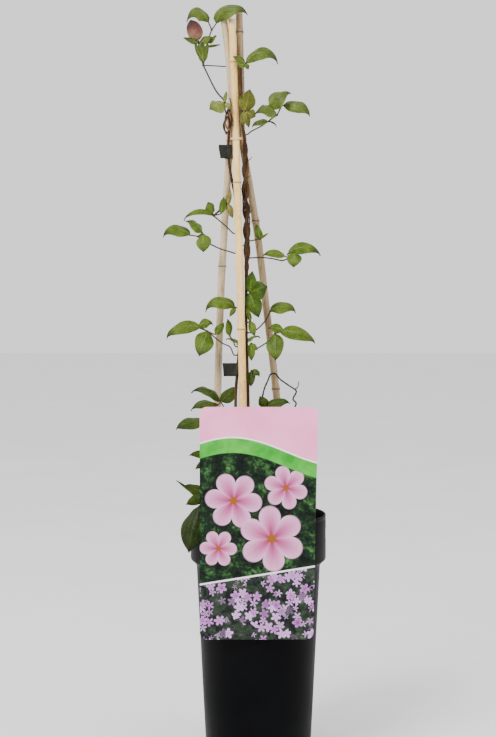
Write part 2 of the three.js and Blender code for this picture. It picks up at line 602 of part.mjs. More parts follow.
    leaflets: [
      { tip: [-0.5, -19, 387.5], face: FRONT, halfWidth: 2.6, arch: 0.1 },
      { tip: [-6.5, -21, 377.5], face: FRONT, halfWidth: 4.2, arch: 0.1 },
    ] },
  { name: "leaf_inner_4", colour: COLOUR.leafLow, stem: "right", height: 364, heading: -35,
    hub: [-6.5, -17, 368],
    leaflets: [
      { tip: [1, -20, 362.5], face: UP, halfWidth: 4.2, arch: 0.3 },
      { tip: [-7.2, -21, 353], face: FRONT, halfWidth: 4.6, arch: 0.12 },
    ] },
  { name: "leaf_low_left_1", colour: COLOUR.leafLow, stem: "left", height: 318, heading: 155,
    via: [[-29, -13, 326]], hub: [-36, -9, 338],
    leaflets: [
      { tip: [-64.3, -12, 346.5], face: [0.2, -0.7, 0.9], halfWidth: 7.5, arch: 0.4 },
      { tip: [-19.5, -14, 352], face: [-0.3, -1, 0.2], halfWidth: 7.5, arch: 0.1 },
      { from: [-38, -12, 335.5], tip: [-64.4, -19, 330], face: [0, -0.7, 0.9], halfWidth: 6.5, arch: 0.28 },
    ] },
  { name: "leaf_low_left_2", colour: COLOUR.leafLow, stem: "left", height: 292, heading: 175,
    via: [[-34, -26, 305]], hub: [-46, -28, 318],
    leaflets: [
      { from: [-51, -28.5, 321.5], tip: [-77.6, -34, 313.8], face: [0, -0.9, 0.7], halfWidth: 8, arch: 0.24 },
      { tip: [-40, -40, 300], face: FRONT, halfWidth: 7, arch: 0.15 },
    ] },
  { name: "leaf_low_right", colour: COLOUR.leafLow, stem: "right", height: 322, heading: -30,
    via: [[1, -19, 327]], hub: [8, -21, 333],
    leaflets: [
      { tip: [1, -27, 345], face: FRONT, halfWidth: 5.5, arch: 0.15 },
      { tip: [30, -26, 337.5], face: UP, halfWidth: 6, arch: 0.24 },
      { tip: [22, -38, 322], face: FRONT, halfWidth: 7, arch: 0.2 },
    ] },
  { name: "leaf_low_left_3", colour: COLOUR.leafLow, stem: "left", height: 270, heading: 185,
    via: [[-32, -28, 279]], hub: [-44, -34, 288],
    leaflets: [
      { tip: [-65, -41, 290], face: UP, halfWidth: 4.5, arch: 0.16 },
      { tip: [-59, -42, 277.5], face: FRONT, halfWidth: 4.5, arch: 0.12 },
    ] },
  { name: "leaf_low_left_4", colour: COLOUR.leafLow, stem: "left", height: 246, heading: 190,
    via: [[-36, -31, 250]], hub: [-50, -37, 253],
    leaflets: [
      { tip: [-68.5, -40, 262.5], face: [0, -1, 0.6], halfWidth: 6.5, arch: 0.14 },
      { tip: [-67.5, -47, 245], face: FRONT, halfWidth: 6, arch: 0.14 },
      { from: [-64, -38, 256], tip: [-77, -40, 266.7], face: UP, halfWidth: 1.4, arch: 0.08 },
    ] },
  { name: "leaf_low_left_5", colour: COLOUR.leafLow, stem: "left", height: 231, heading: 200,
    via: [[-38, -35, 240]], hub: [-55, -42, 243],
    leaflets: [
      { tip: [-64.5, -55, 201.5], face: [-0.35, -0.95, 0.2], halfWidth: 15, arch: 0.12 },
    ] },
  { name: "leaf_back_low", colour: COLOUR.leafLow, stem: "right", height: 262, heading: 60,
    via: [[4, 2, 272], [10, 14, 284]], hub: [14, 26, 294],
    leaflets: [
      { tip: [12, 50, 300], face: BACK, halfWidth: 8, arch: 0.22 },
      { tip: [38, 34, 301], face: [0.3, 0.4, 1], halfWidth: 7, arch: 0.2 },
      { tip: [-6, 36, 288], face: [-0.2, 0.6, 1], halfWidth: 7, arch: 0.2 },
    ] },
  { name: "leaf_back_middle", colour: COLOUR.leafMiddle, stem: "right", height: 366, heading: 105,
    via: [[-13, 2, 374], [-14, 14, 382]], hub: [-15, 22, 390],
    leaflets: [
      { tip: [-17, 44, 388], face: BACK, halfWidth: 6.5, arch: 0.22 },
      { tip: [-32, 32, 396], face: [-0.3, 0.4, 1], halfWidth: 6, arch: 0.2 },
      { tip: [2, 31, 398], face: [0.3, 0.4, 1], halfWidth: 6, arch: 0.26 },
    ] },
];

// The thin young shoot at the top: it forks into the bud's stalk and the stalk of the top pair of
// leaves, and a level tendril ties it back to the left cane.
const FORK = [-53, -1, 661];
const TOP_HUB = [-45, 1, 695.3];
const BUD_BASE = [-57.6, -2, 684.8]; // where the bud's stalk ends
const SHOOT_RODS = [
  { route: [[-30.3, -6, 623], [-34, -6.5, 628], [-40, -5, 635], FORK], radius: 0.8, steps: 6 },
  { route: [FORK, [-55.8, -1, 672], [-57.3, -1.8, 681], BUD_BASE], radius: 0.75, steps: 4 },
  { route: [FORK, [-50.5, 0, 672], [-49, 1, 683], TOP_HUB], radius: 0.75, steps: 4 },
  { route: [TOP_HUB, [-48.4, -0.1, 703.3]], radius: 0.75, steps: 1 },
  { route: [TOP_HUB, [-40.1, -0.1, 702.3]], radius: 0.75, steps: 1 },
  { route: [FORK, [-42, -0.5, 660.5], [-34, -0.5, 660], [-32.6, 2.2, 660.2], [-32.2, 6.6, 661],
    [-28, 9.4, 662], [-23.6, 7.5, 663]], radius: TENDRIL_RADIUS, steps: 12 },
];
const SHOOT_LEAFLETS = [
  { base: [-48, 0, 702.3], tip: [-69, -6, 701.5], face: UP, halfWidth: 8.5, arch: 0.58 },
  { base: [-40.5, 0, 701.3], tip: [-9.7, -10, 707.5], face: UP, halfWidth: 9.5, arch: 0.4 },
  { base: [-57.2, -1.8, 680.2], tip: [-71.5, -10, 684], face: UP, halfWidth: 3.8, arch: 0.05 },
  { base: [-57.2, -1.7, 680.2], tip: [-44.5, -6.5, 687], face: UP, halfWidth: 4.6, arch: 0.1 },
  { base: [-49, 0.8, 683.5], tip: [-39.8, -4, 689], face: [-0.3, -0.8, 0.6], halfWidth: 5, arch: 0.15 },
  { base: [-49.3, 0.6, 679], tip: [-36.5, 2, 681.2], face: UP, halfWidth: 1.8, arch: 0.06 },
  { base: [-53, -1.2, 664], tip: [-54, -5, 682.5], face: FRONT, halfWidth: 5.4, arch: 0.06 },
];

function makeTopShoot() {
  const stalks = SHOOT_RODS.map(({ route, radius, steps }) => {
    return solidOf(rod(route, radius, { sides: 4, stations: evenly(steps) }));
  });
  return meshOf("top_shoot", fuse([...stalks, knuckle(TOP_HUB), ...SHOOT_LEAFLETS.map(blade)]), COLOUR.shoot);
}

// A closed bud of four sepals, widest low down, its ribbed flanks shown as four shallow swells.
function makeBud() {
  const bud = turned(BUD.profile, 16);
  const position = bud.attributes.position;
  for (let i = 0; i < position.count; i++) {
    const [x, y] = [position.getX(i), position.getY(i)];
    const swell = 1 + BUD.swell * Math.cos(BUD.ribs * Math.atan2(y, x));
    position.setXY(i, x * swell, y * swell);
  }
  bud.rotateX(radians(BUD.tiltForward)).rotateY(radians(-BUD.tiltLeft));
  bud.translate(BUD_BASE[0], BUD_BASE[1], BUD_BASE[2] + GAP + 0.1);
  return meshOf("flower_bud", solidOf(bud), COLOUR.bud, 0.7);
}

// ---------------------------------------------------------------- dry twig and label

const TWIG = [[6, -9, 196], [4, -9, 280], [2.6, -10, 330], [5.4, -9, 349], [9.3, -3, 358], [12.2, 4, 363.5],
  [16.5, 7, 363.5], [21, 6, 358.5], [30.6, 0, 352], [36.5, -3, 347.5], [33.4, -4, 340], [36.3, -5, 336],
  [33.6, -6, 330]];
const TWIG_RADIUS = 0.85;

const TWIG_SPUR = [[34.4, -2, 349.1], [37.5, -3, 351], [39, -4, 357]];

function makeTwig() {
  const main = rod(TWIG, TWIG_RADIUS, { sides: 4, stations: evenly(36) });
  const spur = rod(TWIG_SPUR, TENDRIL_RADIUS, { sides: 4, stations: evenly(2) });
  return meshOf("dry_twig", solidOf(main).add(solidOf(spur)), COLOUR.twig, 0.8);
}

function cardOutline() {
  const { left, rightTop, rightBottom, bottom, top, corner } = LABEL;
  const shape = new THREE.Shape();
  shape.moveTo(left + corner, bottom);
  shape.lineTo(rightBottom - corner, bottom);
  shape.quadraticCurveTo(rightBottom, bottom, rightBottom + 0.1, bottom + corner);
  shape.lineTo(rightTop - 0.1, top - corner);
  shape.quadraticCurveTo(rightTop, top, rightTop - corner, top);
  shape.lineTo(left + corner, top);
  shape.quadraticCurveTo(left, top, left, top - corner);
  shape.lineTo(left, bottom + corner);
  shape.quadraticCurveTo(left, bottom, left + corner, bottom);
  return shape;
}

// The tongue as it passes over the rim and down inside it, grown by a clearance where it cuts the soil.
function tongueSolid(clearance) {
  const crest = POT.height + TONGUE.rise;
  const tipBack = TONGUE.back + TONGUE.lean * (crest - TONGUE.tip);
  const shape = new THREE.Shape([
    [TONGUE.front, crest], [TONGUE.back, crest], [tipBack + clearance, TONGUE.tip - clearance],
    [tipBack - TONGUE.thickness - clearance, TONGUE.tip - clearance],
    [TONGUE.back - TONGUE.thickness - clearance, crest - TONGUE.thickness],
    [TONGUE.front, crest - TONGUE.thickness],
  ].map(([y, z]) => new THREE.Vector2(y, z)));
  const width = TONGUE.width + 2 * clearance;
  const strip = new THREE.ExtrudeGeometry(shape, { depth: width, bevelEnabled: false });
  // The drawing's x and y become the part's y and z, and its depth runs along x.
  strip.applyMatrix4(new THREE.Matrix4().set(0, 0, 1, -width / 2, 1, 0, 0, 0, 0, 1, 0, 0, 0, 0, 0, 1));
  return solidOf(strip);
}

function makeLabel() {
  const sheet = { depth: LABEL.thickness, bevelEnabled: false, curveSegments: 4 };
  const card = new THREE.ExtrudeGeometry(cardOutline(), sheet);
  const restHeight = POT.height - POT.collarHeight;
  card.rotateX(Math.PI / 2).translate(0, 0, -restHeight).rotateX(radians(LABEL.lean));
  card.translate(0, -POT.rimRadius - GAP, restHeight);
  return meshOf("plant_label", solidOf(card).add(tongueSolid(0)), COLOUR.label, 0.3);
}

// ---------------------------------------------------------------- the whole plant

const standing = [
  ...Object.values(CANES).map((points) => holeFor(points, CANE.footRadius)),
  holeFor(BINE_LEFT, BINE_RADIUS), holeFor(rightStemPoints(), BINE_RADIUS), holeFor(TWIG, TWIG_RADIUS),
  tongueSolid(GAP),
];

const plant = new THREE.Group();
plant.add(
  makePot(), makeSoil(standing),
  makeCane("left", COLOUR.caneLeft), makeCane("front", COLOUR.caneFront), makeCane("right", COLOUR.caneRight),
  makeTie(),
  makeTape("stem_tape_upper", TAPE_UPPER), makeTape("stem_tape_lower", TAPE_LOWER),
  makeLeftBine(), makeRightBine(),
  ...LEAVES.map((leaf, number) => meshOf(leaf.name, leafSolid(leaf, number), leaf.colour)),
  makeTopShoot(), makeBud(), makeTwig(), makeLabel(),
);

export default plant;
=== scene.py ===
import math
import random
from functools import partial

import bmesh
import bpy
from mathutils import Matrix, Vector, noise
from mathutils.geometry import interpolate_bezier


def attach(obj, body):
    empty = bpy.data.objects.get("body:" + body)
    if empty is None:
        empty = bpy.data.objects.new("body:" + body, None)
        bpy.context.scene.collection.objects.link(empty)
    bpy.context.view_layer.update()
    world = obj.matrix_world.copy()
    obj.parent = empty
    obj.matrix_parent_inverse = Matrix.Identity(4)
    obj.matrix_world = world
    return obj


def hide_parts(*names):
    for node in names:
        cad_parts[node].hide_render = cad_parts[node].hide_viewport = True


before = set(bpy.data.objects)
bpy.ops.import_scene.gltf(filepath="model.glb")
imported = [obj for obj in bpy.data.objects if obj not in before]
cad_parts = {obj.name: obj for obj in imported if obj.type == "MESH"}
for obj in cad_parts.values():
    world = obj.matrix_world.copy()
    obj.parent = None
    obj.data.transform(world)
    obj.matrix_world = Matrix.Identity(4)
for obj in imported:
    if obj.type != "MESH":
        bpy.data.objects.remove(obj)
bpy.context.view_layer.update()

scene = bpy.context.scene

# ---------------- camera
# A level camera on a tripod stands 1.4 m in front of the pot, at the height of the middle of the canes. Its
# lens is shifted down, so the picture ends just above the pot's foot and upright lines stay upright.

CAMERA_AT = (0, -1.4, 0.4512)
PICTURE_HEIGHT = 737
FOCAL_PIXELS = 1453.8
SENSOR_WIDTH = 36
PICTURE_SHIFT = (-10.3, -85.2)

camera = bpy.data.objects.new("plant_camera", bpy.data.cameras.new("plant_camera"))
camera.location = CAMERA_AT
camera.rotation_euler = (math.radians(90), 0, 0)
camera.data.sensor_width = SENSOR_WIDTH
camera.data.lens = SENSOR_WIDTH * FOCAL_PIXELS / PICTURE_HEIGHT
camera.data.shift_x = PICTURE_SHIFT[0] / PICTURE_HEIGHT
camera.data.shift_y = PICTURE_SHIFT[1] / PICTURE_HEIGHT
scene.collection.objects.link(camera)
scene.camera = camera

# ---------------- floor and lights
# The plant stands on a pale, matte studio floor. A large soft light hangs at the front left, a weaker
# one stands at the right, and white walls all round fill the shadows.

FLOOR_HALF = 8
FLOOR_DROP = 0.0002
WALL_LIGHT = 1.25
PLANT_MIDDLE = Vector((0, 0, 0.4))
# Each soft box: its name, place, power and width.
SOFT_BOXES = [("front_left_box", (-1.1, -1.5, 1.9), 60, 0.9), ("right_box", (1.5, -0.9, 1.0), 12, 0.9)]


def node(tree, kind, inputs=None, **settings):
    """Adds one shader node. inputs holds values or sockets by the input's name or number."""
    made = tree.nodes.new("ShaderNode" + kind)
    for name, value in settings.items():
        setattr(made, name, value)
    for name, value in (inputs or {}).items():
        if isinstance(value, bpy.types.NodeSocket):
            tree.links.new(value, made.inputs[name])
        else:
            made.inputs[name].default_value = value
    return made


def new_material(name, roughness, specular=0.5, **values):
    """A material with one Principled shader, returned with its node tree and that shader."""
    material = bpy.data.materials.new(name)
    material.use_nodes = True
    shader = material.node_tree.nodes["Principled BSDF"]
    shader.inputs["Roughness"].default_value = roughness
    shader.inputs["Specular IOR Level"].default_value = specular
    for socket, value in values.items():
        shader.inputs[socket.replace("_", " ").title()].default_value = value
    return material, material.node_tree, shader


def colour_ramp(tree, factor, stops):
    """A colour ramp through (place, (red, green, blue)) stops."""
    ramp = node(tree, "ValToRGB", {"Fac": factor})
    elements = ramp.color_ramp.elements
    while len(elements) < len(stops):
        elements.new(0.5)
    for element, (place, colour) in zip(elements, stops):
        element.position = place
        element.color = (*colour, 1)
    return ramp.outputs["Color"]


def own_place(tree, scale=(1, 1, 1), turn=(0, 0, 0)):
    """A point of the piece in its own space, stretched or turned."""
    place = node(tree, "TexCoord").outputs["Object"]
    return node(tree, "Mapping", {"Vector": place, "Scale": scale, "Rotation": turn}).outputs["Vector"]


def grain(tree, place, scale, detail=3, roughness=0.55):
    """Soft random grain, as a socket from 0 to 1."""
    inputs = {"Vector": place, "Scale": scale, "Detail": detail, "Roughness": roughness}
    return node(tree, "TexNoise", inputs).outputs["Fac"]


def relief(tree, shader, height, depth):
    """Gives the surface the relief of a height from 0 to 1, depth metres deep."""
    bump = node(tree, "Bump", {"Height": height, "Distance": depth, "Strength": 1.0})
    tree.links.new(bump.outputs["Normal"], shader.inputs["Normal"])


def mottled(name, roughness, scale, stops, bumps=None, specular=0.5, detail=3, bump_detail=3,
            stretch=(1, 1, 1)):
    """A material of one soft grain through a ramp of colours, with bumps of (scale, depth) on it."""
    material, tree, shader = new_material(name, roughness, specular)
    tone = grain(tree, own_place(tree, stretch), scale, detail)
    tree.links.new(colour_ramp(tree, tone, stops), shader.inputs["Base Color"])
    if bumps:
        relief(tree, shader, grain(tree, own_place(tree), bumps[0], bump_detail), bumps[1])
    return material


floor_bm = bmesh.new()
bmesh.ops.create_grid(floor_bm, x_segments=1, y_segments=1, size=FLOOR_HALF)
bmesh.ops.translate(floor_bm, verts=floor_bm.verts, vec=(0, 0, -FLOOR_DROP))
floor_mesh = bpy.data.meshes.new("studio_floor")
floor_bm.to_mesh(floor_mesh)
floor_bm.free()
pale_floor = mottled("pale_floor", 0.9, 6, [(0.3, (0.86, 0.86, 0.855)), (0.7, (0.9, 0.9, 0.9))])
floor_mesh.materials.append(pale_floor)
studio_floor = bpy.data.objects.new("studio_floor", floor_mesh)
scene.collection.objects.link(studio_floor)

for name, spot, power, width in SOFT_BOXES:
    lamp = bpy.data.lights.new(name, "AREA")
    lamp.energy = power
    lamp.size = width
    light = bpy.data.objects.new(name, lamp)
    light.location = spot
    light.rotation_euler = (PLANT_MIDDLE - Vector(spot)).to_track_quat("-Z", "Y").to_euler()
    scene.collection.objects.link(light)

walls = bpy.data.worlds.new("white_walls")
walls.use_nodes = True
walls.node_tree.nodes["Background"].inputs["Color"].default_value = (1, 1, 1, 1)
walls.node_tree.nodes["Background"].inputs["Strength"].default_value = WALL_LIGHT
scene.world = walls

# ---------------- pot
# A tall round nursery pot, injection moulded in black polypropylene. The deep collar at its rim has
# moulded grip pockets, and its floor has drain holes, which show only from below.

MM = 0.001
POT_SIDES = 96
POT_HEIGHT = 230
COLLAR_FOOT = 187
RIM_RADIUS = 65
BODY_RADIUS = 59.6
BASE_RADIUS = 50
WALL = 1.7
POT_FLOOR = 2.4
GRIP_BAND = (205, 217)
GRIP_COUNT = 8
GRIP_DEPTH = 0.95
DRAIN_RING = (30, 38)
DRAIN_COUNT = 6
HALF_POCKET = 7.6
HALF_DRAIN = 7


def keep_piece(bm, name, nodes, materials, smooth=True):
    """Makes a finished bmesh in millimetres one piece of the plant, in metres."""
    bmesh.ops.scale(bm, vec=(MM, MM, MM), verts=bm.verts)
    mesh = bpy.data.meshes.new(name)
    bm.to_mesh(mesh)
    bm.free()
    for material in materials:
        mesh.materials.append(material)
    mesh.polygons.foreach_set("use_smooth", [smooth] * len(mesh.polygons))
    piece = bpy.data.objects.new(name, mesh)
    scene.collection.objects.link(piece)
    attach(piece, "root")
    if nodes:
        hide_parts(*nodes)
    return piece


def turned(bm, profile, sides):
    """A closed solid of revolution from (radius, height) points that start and end on the axis."""
    points = [bm.verts.new((radius, 0, height)) for radius, height in profile]
    edges = [bm.edges.new(pair) for pair in zip(points, points[1:])]
    bmesh.ops.spin(bm, geom=points + edges, cent=(0, 0, 0), axis=(0, 0, 1), angle=2 * math.pi, steps=sides,
                   use_merge=True)
    bmesh.ops.remove_doubles(bm, verts=bm.verts, dist=1e-4)
    bmesh.ops.recalc_face_normals(bm, faces=bm.faces)
    bm.normal_update()


def lies_in(face, angle, half_angle, radii, heights):
    """Whether the middle of a face lies near a direction in degrees, and within two ranges."""
    middle = face.calc_center_median()
    off = (math.degrees(math.atan2(middle.y, middle.x)) - angle + 180) % 360 - 180
    return (abs(off) < half_angle and radii[0] < middle.xy.length < radii[1]
            and heights[0] < middle.z < heights[1])


def body_radius(height):
    """The wall widens evenly from the base to the collar."""
    return BASE_RADIUS + (BODY_RADIUS - BASE_RADIUS) * height / COLLAR_FOOT


def calc(tree, operation, *values):
    """One step of arithmetic on sockets or numbers."""
    return node(tree, "Math", dict(enumerate(values)), operation=operation).outputs[0]


def sum_of(tree, *parts):
    """The weighted sum of (socket, weight) parts."""
    total = None
    for socket, weight in parts:
        share = calc(tree, "MULTIPLY", socket, weight)
        total = share if total is None else calc(tree, "ADD", total, share)
    return total


pot_bm = bmesh.new()
turned(pot_bm, [
    (0, 0), (DRAIN_RING[0], 0), (DRAIN_RING[1], 0), (BASE_RADIUS - 3, 0), (BASE_RADIUS - 0.8, 0.5),
    (BASE_RADIUS, 1.8), (body_radius(60), 60), (body_radius(120), 120), (body_radius(176), 176),
    (body_radius(181), 181), (BODY_RADIUS + 1.2, 183.5), (RIM_RADIUS - 1.6, 186.2), (RIM_RADIUS - 0.5, 186.9),
    (RIM_RADIUS, 188.2), (RIM_RADIUS, GRIP_BAND[0]), (RIM_RADIUS, GRIP_BAND[1]), (RIM_RADIUS, 225.2),
    (RIM_RADIUS - 0.35, 225.9), (RIM_RADIUS - 0.35, 226.6), (RIM_RADIUS, 227.2), (RIM_RADIUS, 229),
    (RIM_RADIUS - 0.35, 229.75), (RIM_RADIUS - 0.9, POT_HEIGHT), (RIM_RADIUS - WALL + 0.2, 229.7),
    (RIM_RADIUS - WALL, 229.1), (RIM_RADIUS - WALL, 190), (BODY_RADIUS - WALL, 184.5),
    (BASE_RADIUS - WALL - 0.3, POT_FLOOR + 1), (BASE_RADIUS - WALL - 1.2, POT_FLOOR),
    (DRAIN_RING[1], POT_FLOOR), (DRAIN_RING[0], POT_FLOOR), (0, POT_FLOOR),
], POT_SIDES)
# Grip pockets are pressed a millimetre into the collar.
COLLAR_FACE = (RIM_RADIUS - 0.5, RIM_RADIUS + 1)
for number in range(GRIP_COUNT):
    pocket = [f for f in pot_bm.faces
              if lies_in(f, 360 * number / GRIP_COUNT, HALF_POCKET, COLLAR_FACE, GRIP_BAND)]
    bmesh.ops.inset_region(pot_bm, faces=pocket, thickness=1.2, depth=0, use_even_offset=True)
    bmesh.ops.inset_region(pot_bm, faces=pocket, thickness=0.5, depth=-GRIP_DEPTH, use_even_offset=True)
# Each drain hole joins the same few faces of the underside and of the pot's inner floor.
for number in range(DRAIN_COUNT):
    bores = [f for f in pot_bm.faces
             if lies_in(f, 360 * (number + 0.5) / DRAIN_COUNT, HALF_DRAIN, DRAIN_RING, (-1, POT_FLOOR + 0.1))]
    rims = [e for e in {e for f in bores for e in f.edges} if sum(f in bores for f in e.link_faces) == 1]
    bmesh.ops.delete(pot_bm, geom=bores, context="FACES")
    bmesh.ops.bridge_loops(pot_bm, edges=rims)
bmesh.ops.recalc_face_normals(pot_bm, faces=pot_bm.faces)

pot_plastic, tree, shader = new_material("black_pot_plastic", 0.4, specular=0.035)
place = own_place(tree)
scuffs = grain(tree, own_place(tree, scale=(260, 260, 14)), 1, detail=4)
clouds = grain(tree, place, 18, detail=2)
tree.links.new(colour_ramp(tree, clouds, [(0.3, (0.0016, 0.0017, 0.0021)), (0.7, (0.003, 0.0031, 0.0036))]),
               shader.inputs["Base Color"])
wear = sum_of(tree, (scuffs, 0.18), (clouds, 0.2))
tree.links.new(calc(tree, "ADD", wear, 0.24), shader.inputs["Roughness"])
relief(tree, shader, sum_of(tree, (grain(tree, place, 2600, detail=1), 0.6), (scuffs, 0.6)), 0.00005)
pot = keep_piece(pot_bm, "pot_shell", ["pot"], [pot_plastic])
bevel = pot.modifiers.new("moulded_edges", "BEVEL")
bevel.width = 0.00025
bevel.segments = 2
bevel.limit_method = "ANGLE"
bevel.angle_limit = math.radians(38)

# ---------------- soil
# A damp, dark growing mix fills the pot to just below its rim. Crumbs of bark, short fibres and a few
# pale grains lie loose on top.

SOIL_TOP = 214
SOIL_SIDES = 80
# The profile under the surface, from the pot's floor up its wall, and the rings of the surface itself.
SOIL_WALL = [(0, 2.8), (46.7, 2.8), (57.5, 184.8), (62.9, 190.4), (62.9, 212.6)]
SOIL_RINGS = (61, 58.5, 56, 53, 50, 46.5, 43, 39.5, 36, 32, 28, 24, 20, 16, 12, 8, 4, 0)
CRUMB_COUNT = 230
CRUMB_FIELD = 59
CRUMB_SIZES = (0.5, 1.9)
PALE_SHARE = 0.07
NOISE_SEED = 7


def soil_height(x, y):
    """The settled surface of the mix at a place, in millimetres."""
    swell = 1.3 * math.sin(0.17 * x + 0.8) * math.cos(0.14 * y) + 0.8 * math.sin(0.31 * y - 0.23 * x)
    lumps = noise.fractal(Vector((x, y, 3.0)) * 0.14, 1.0, 2.0, 4)
    return SOIL_TOP + swell + 0.9 * lumps


soil_bm = bmesh.new()
turned(soil_bm, SOIL_WALL + [(radius, SOIL_TOP) for radius in SOIL_RINGS], SOIL_SIDES)
for vert in soil_bm.verts:
    if vert.co.z > SOIL_TOP - 0.5:
        vert.co.z = soil_height(vert.co.x, vert.co.y)

growing_mix, tree, shader = new_material("growing_mix", 0.95, specular=0.15)
place = own_place(tree)
crumbs = node(tree, "TexVoronoi", {"Vector": place, "Scale": 480}).outputs["Distance"]
fibres = grain(tree, own_place(tree, scale=(900, 160, 300), turn=(0, 0, 0.7)), 1, detail=3)
earth = sum_of(tree, (grain(tree, place, 260, detail=6), 0.6), (fibres, 0.4))
tree.links.new(colour_ramp(tree, earth, [
    (0.34, (0.010, 0.006, 0.004)), (0.5, (0.035, 0.021, 0.013)), (0.62, (0.075, 0.045, 0.027)),
    (0.78, (0.15, 0.1, 0.06))]), shader.inputs["Base Color"])
relief(tree, shader, sum_of(tree, (crumbs, 0.7), (earth, 0.6)), 0.0012)
keep_piece(soil_bm, "soil_body", ["soil"], [growing_mix])

# The noise that bends crumbs and tapes has a seed of its own, so that each run gives the same shapes.
noise.seed_set(NOISE_SEED)
crumb_bm = bmesh.new()
pick = random.Random(7)
for number in range(CRUMB_COUNT):
    reach = CRUMB_FIELD * math.sqrt(pick.random())
    turn = pick.uniform(0, 2 * math.pi)
    x, y = reach * math.cos(turn), reach * math.sin(turn)
    size = pick.uniform(*CRUMB_SIZES)
    where = Matrix.Translation((x, y, soil_height(x, y) + 0.2 * size))
    lie = Matrix.Rotation(pick.uniform(0, 6.28), 4, "Z") @ Matrix.Rotation(pick.uniform(-0.5, 0.5), 4, "X")
    stretch = Matrix.Diagonal((pick.uniform(1, 2.4), 1, pick.uniform(0.35, 0.7), 1))
    made = bmesh.ops.create_icosphere(crumb_bm, subdivisions=1, radius=size, matrix=where @ lie @ stretch)
    for vert in made["verts"]:
        vert.co += 0.25 * size * noise.noise_vector(vert.co * 0.8)
    if pick.random() < PALE_SHARE:
        for face in {f for v in made["verts"] for f in v.link_faces}:
            face.material_index = 1

bark_crumb = mottled("bark_crumb", 0.9, 210, [
    (0.3, (0.02, 0.011, 0.007)), (0.55, (0.075, 0.042, 0.024)), (0.75, (0.17, 0.11, 0.065))],
    bumps=(1500, 0.0003), specular=0.2, detail=4)
pale_grain = mottled("pale_grain", 0.85, 400, [(0.35, (0.4, 0.36, 0.3)), (0.65, (0.62, 0.58, 0.5))],
                     bumps=(2200, 0.0002))
keep_piece(crumb_bm, "soil_crumbs", [], [bark_crumb, pale_grain], smooth=False)

# ---------------- canes
# Three bamboo canes stand in the mix and lean in until they meet at the tie. Each is a natural culm with
# raised nodes, a hollow cut top and a skin that weathering has turned a colour of its own.

CANE_FOOT_RADIUS = 3.7
CANE_TOP_RADIUS = 3.35
CANE_SPAN = (108, 708)
CANE_RINGS = 70
CANE_SIDES = 20
TIE_HEIGHT = 590
CANES = {
    "left": [(-43, 12.5, 108), (-41.5, 10.5, 212), (-39, 8.5, 357), (-36, 7, 445), (-32, 5, 517),
             (-27.4, 3, TIE_HEIGHT), (-26.4, 4.6, 640), (-28.2, 4.4, 665), (-33.2, 3.6, 706)],
    "front": [(-11, -42, 106), (-12.5, -36, 212), (-14.6, -27.5, 340), (-17, -20, 445), (-19.6, -11.5, 521),
              (-21.4, -3, TIE_HEIGHT), (-22.8, -2.8, 640), (-25.5, -2.8, 705)],
    "right": [(32, 19, 110), (26.5, 16.5, 235), (17.4, 14, 345), (6.5, 11.5, 438), (0, 9.5, 493),
              (-8.2, 6, 545), (-15.5, 3.4, TIE_HEIGHT), (-16.6, 3.6, 640), (-18.6, 4, 713.4)],
}
CANE_NODES = {"left": [244, 341, 468, 612], "front": [262, 408, 548, 664], "right": [232, 349, 512, 694]}
# The closer rings round each node, as heights from it.
NODE_RINGS = (-5, -3.4, -2.4, -1.6, -1, -0.5, 0, 0.5, 1.1, 1.7, 2.4, 3.4, 5)
# The colours of each cane's skin: in its grooves, of its body and where the sun has bleached it.
CANE_SKIN = {
    "left": ("cane_grey", (0.2, 0.13, 0.07), (0.47, 0.36, 0.215), (0.7, 0.58, 0.39)),
    "front": ("cane_pale", (0.5, 0.27, 0.085), (0.83, 0.53, 0.175), (0.95, 0.7, 0.31)),
    "right": ("cane_brown", (0.1, 0.06, 0.026), (0.27, 0.185, 0.095), (0.42, 0.31, 0.175)),
}


def smooth_route(points, steps):
    """The smooth curve through points, with so many steps from each to the next."""
    points = [Vector(p) for p in points]
    line = [2 * points[0] - points[1], *points, 2 * points[-1] - points[-2]]
    route = [points[0]]
    for a, b, c, d in zip(line, line[1:], line[2:], line[3:]):
        before, here, after = ((q - p).length ** 0.5 for p, q in ((a, b), (b, c), (c, d)))
        leave = ((b - a) / before - (c - a) / (before + here) + (c - b) / here) * here
        arrive = ((c - b) / here - (d - b) / (here + after) + (d - c) / after) * here
        route += interpolate_bezier(b, b + leave / 3, c - arrive / 3, c, steps + 1)[1:]
    return route


def at_height(route, height):
    """The point of a rising route at a height."""
    for low, high in zip(route, route[1:]):
        if low.z <= height <= high.z:
            return low.lerp(high, (height - low.z) / max(high.z - low.z, 1e-6))
    return route[-1] if height > route[-1].z else route[0]


def grow_rod(bm, route, radii, sides=8):
    """A round rod, drawn out of the rim of one disc along a route and closed. Returns its last face."""
    first = len(bm.faces)
    frames = []
    across = (route[1] - route[0]).orthogonal().normalized()
    for i, (point, radius) in enumerate(zip(route, radii)):
        along = (route[min(i + 1, len(route) - 1)] - route[max(i - 1, 0)]).normalized()
        across = (across - along * across.dot(along)).normalized()
        columns = Matrix((across * radius, along.cross(across) * radius, along * radius))
        frames.append(Matrix.Translation(point) @ columns.transposed().to_4x4())
    disc = bmesh.ops.create_circle(bm, cap_ends=True, segments=sides, radius=1, matrix=frames[0])
    rim = disc["verts"][0].link_faces[0].edges[:]
    for before, after in zip(frames, frames[1:]):
        grown = bmesh.ops.extrude_edge_only(bm, edges=rim)["geom"]
        verts = [part for part in grown if isinstance(part, bmesh.types.BMVert)]
        rim = [part for part in grown if isinstance(part, bmesh.types.BMEdge)
               and all(v in verts for v in part.verts)]
        bmesh.ops.transform(bm, matrix=after @ before.inverted(), verts=verts)
    end = bmesh.ops.contextual_create(bm, geom=rim)["faces"][0]
    bm.faces.ensure_lookup_table()
    bmesh.ops.recalc_face_normals(bm, faces=bm.faces[first:])
    end.normal_update()
    return end


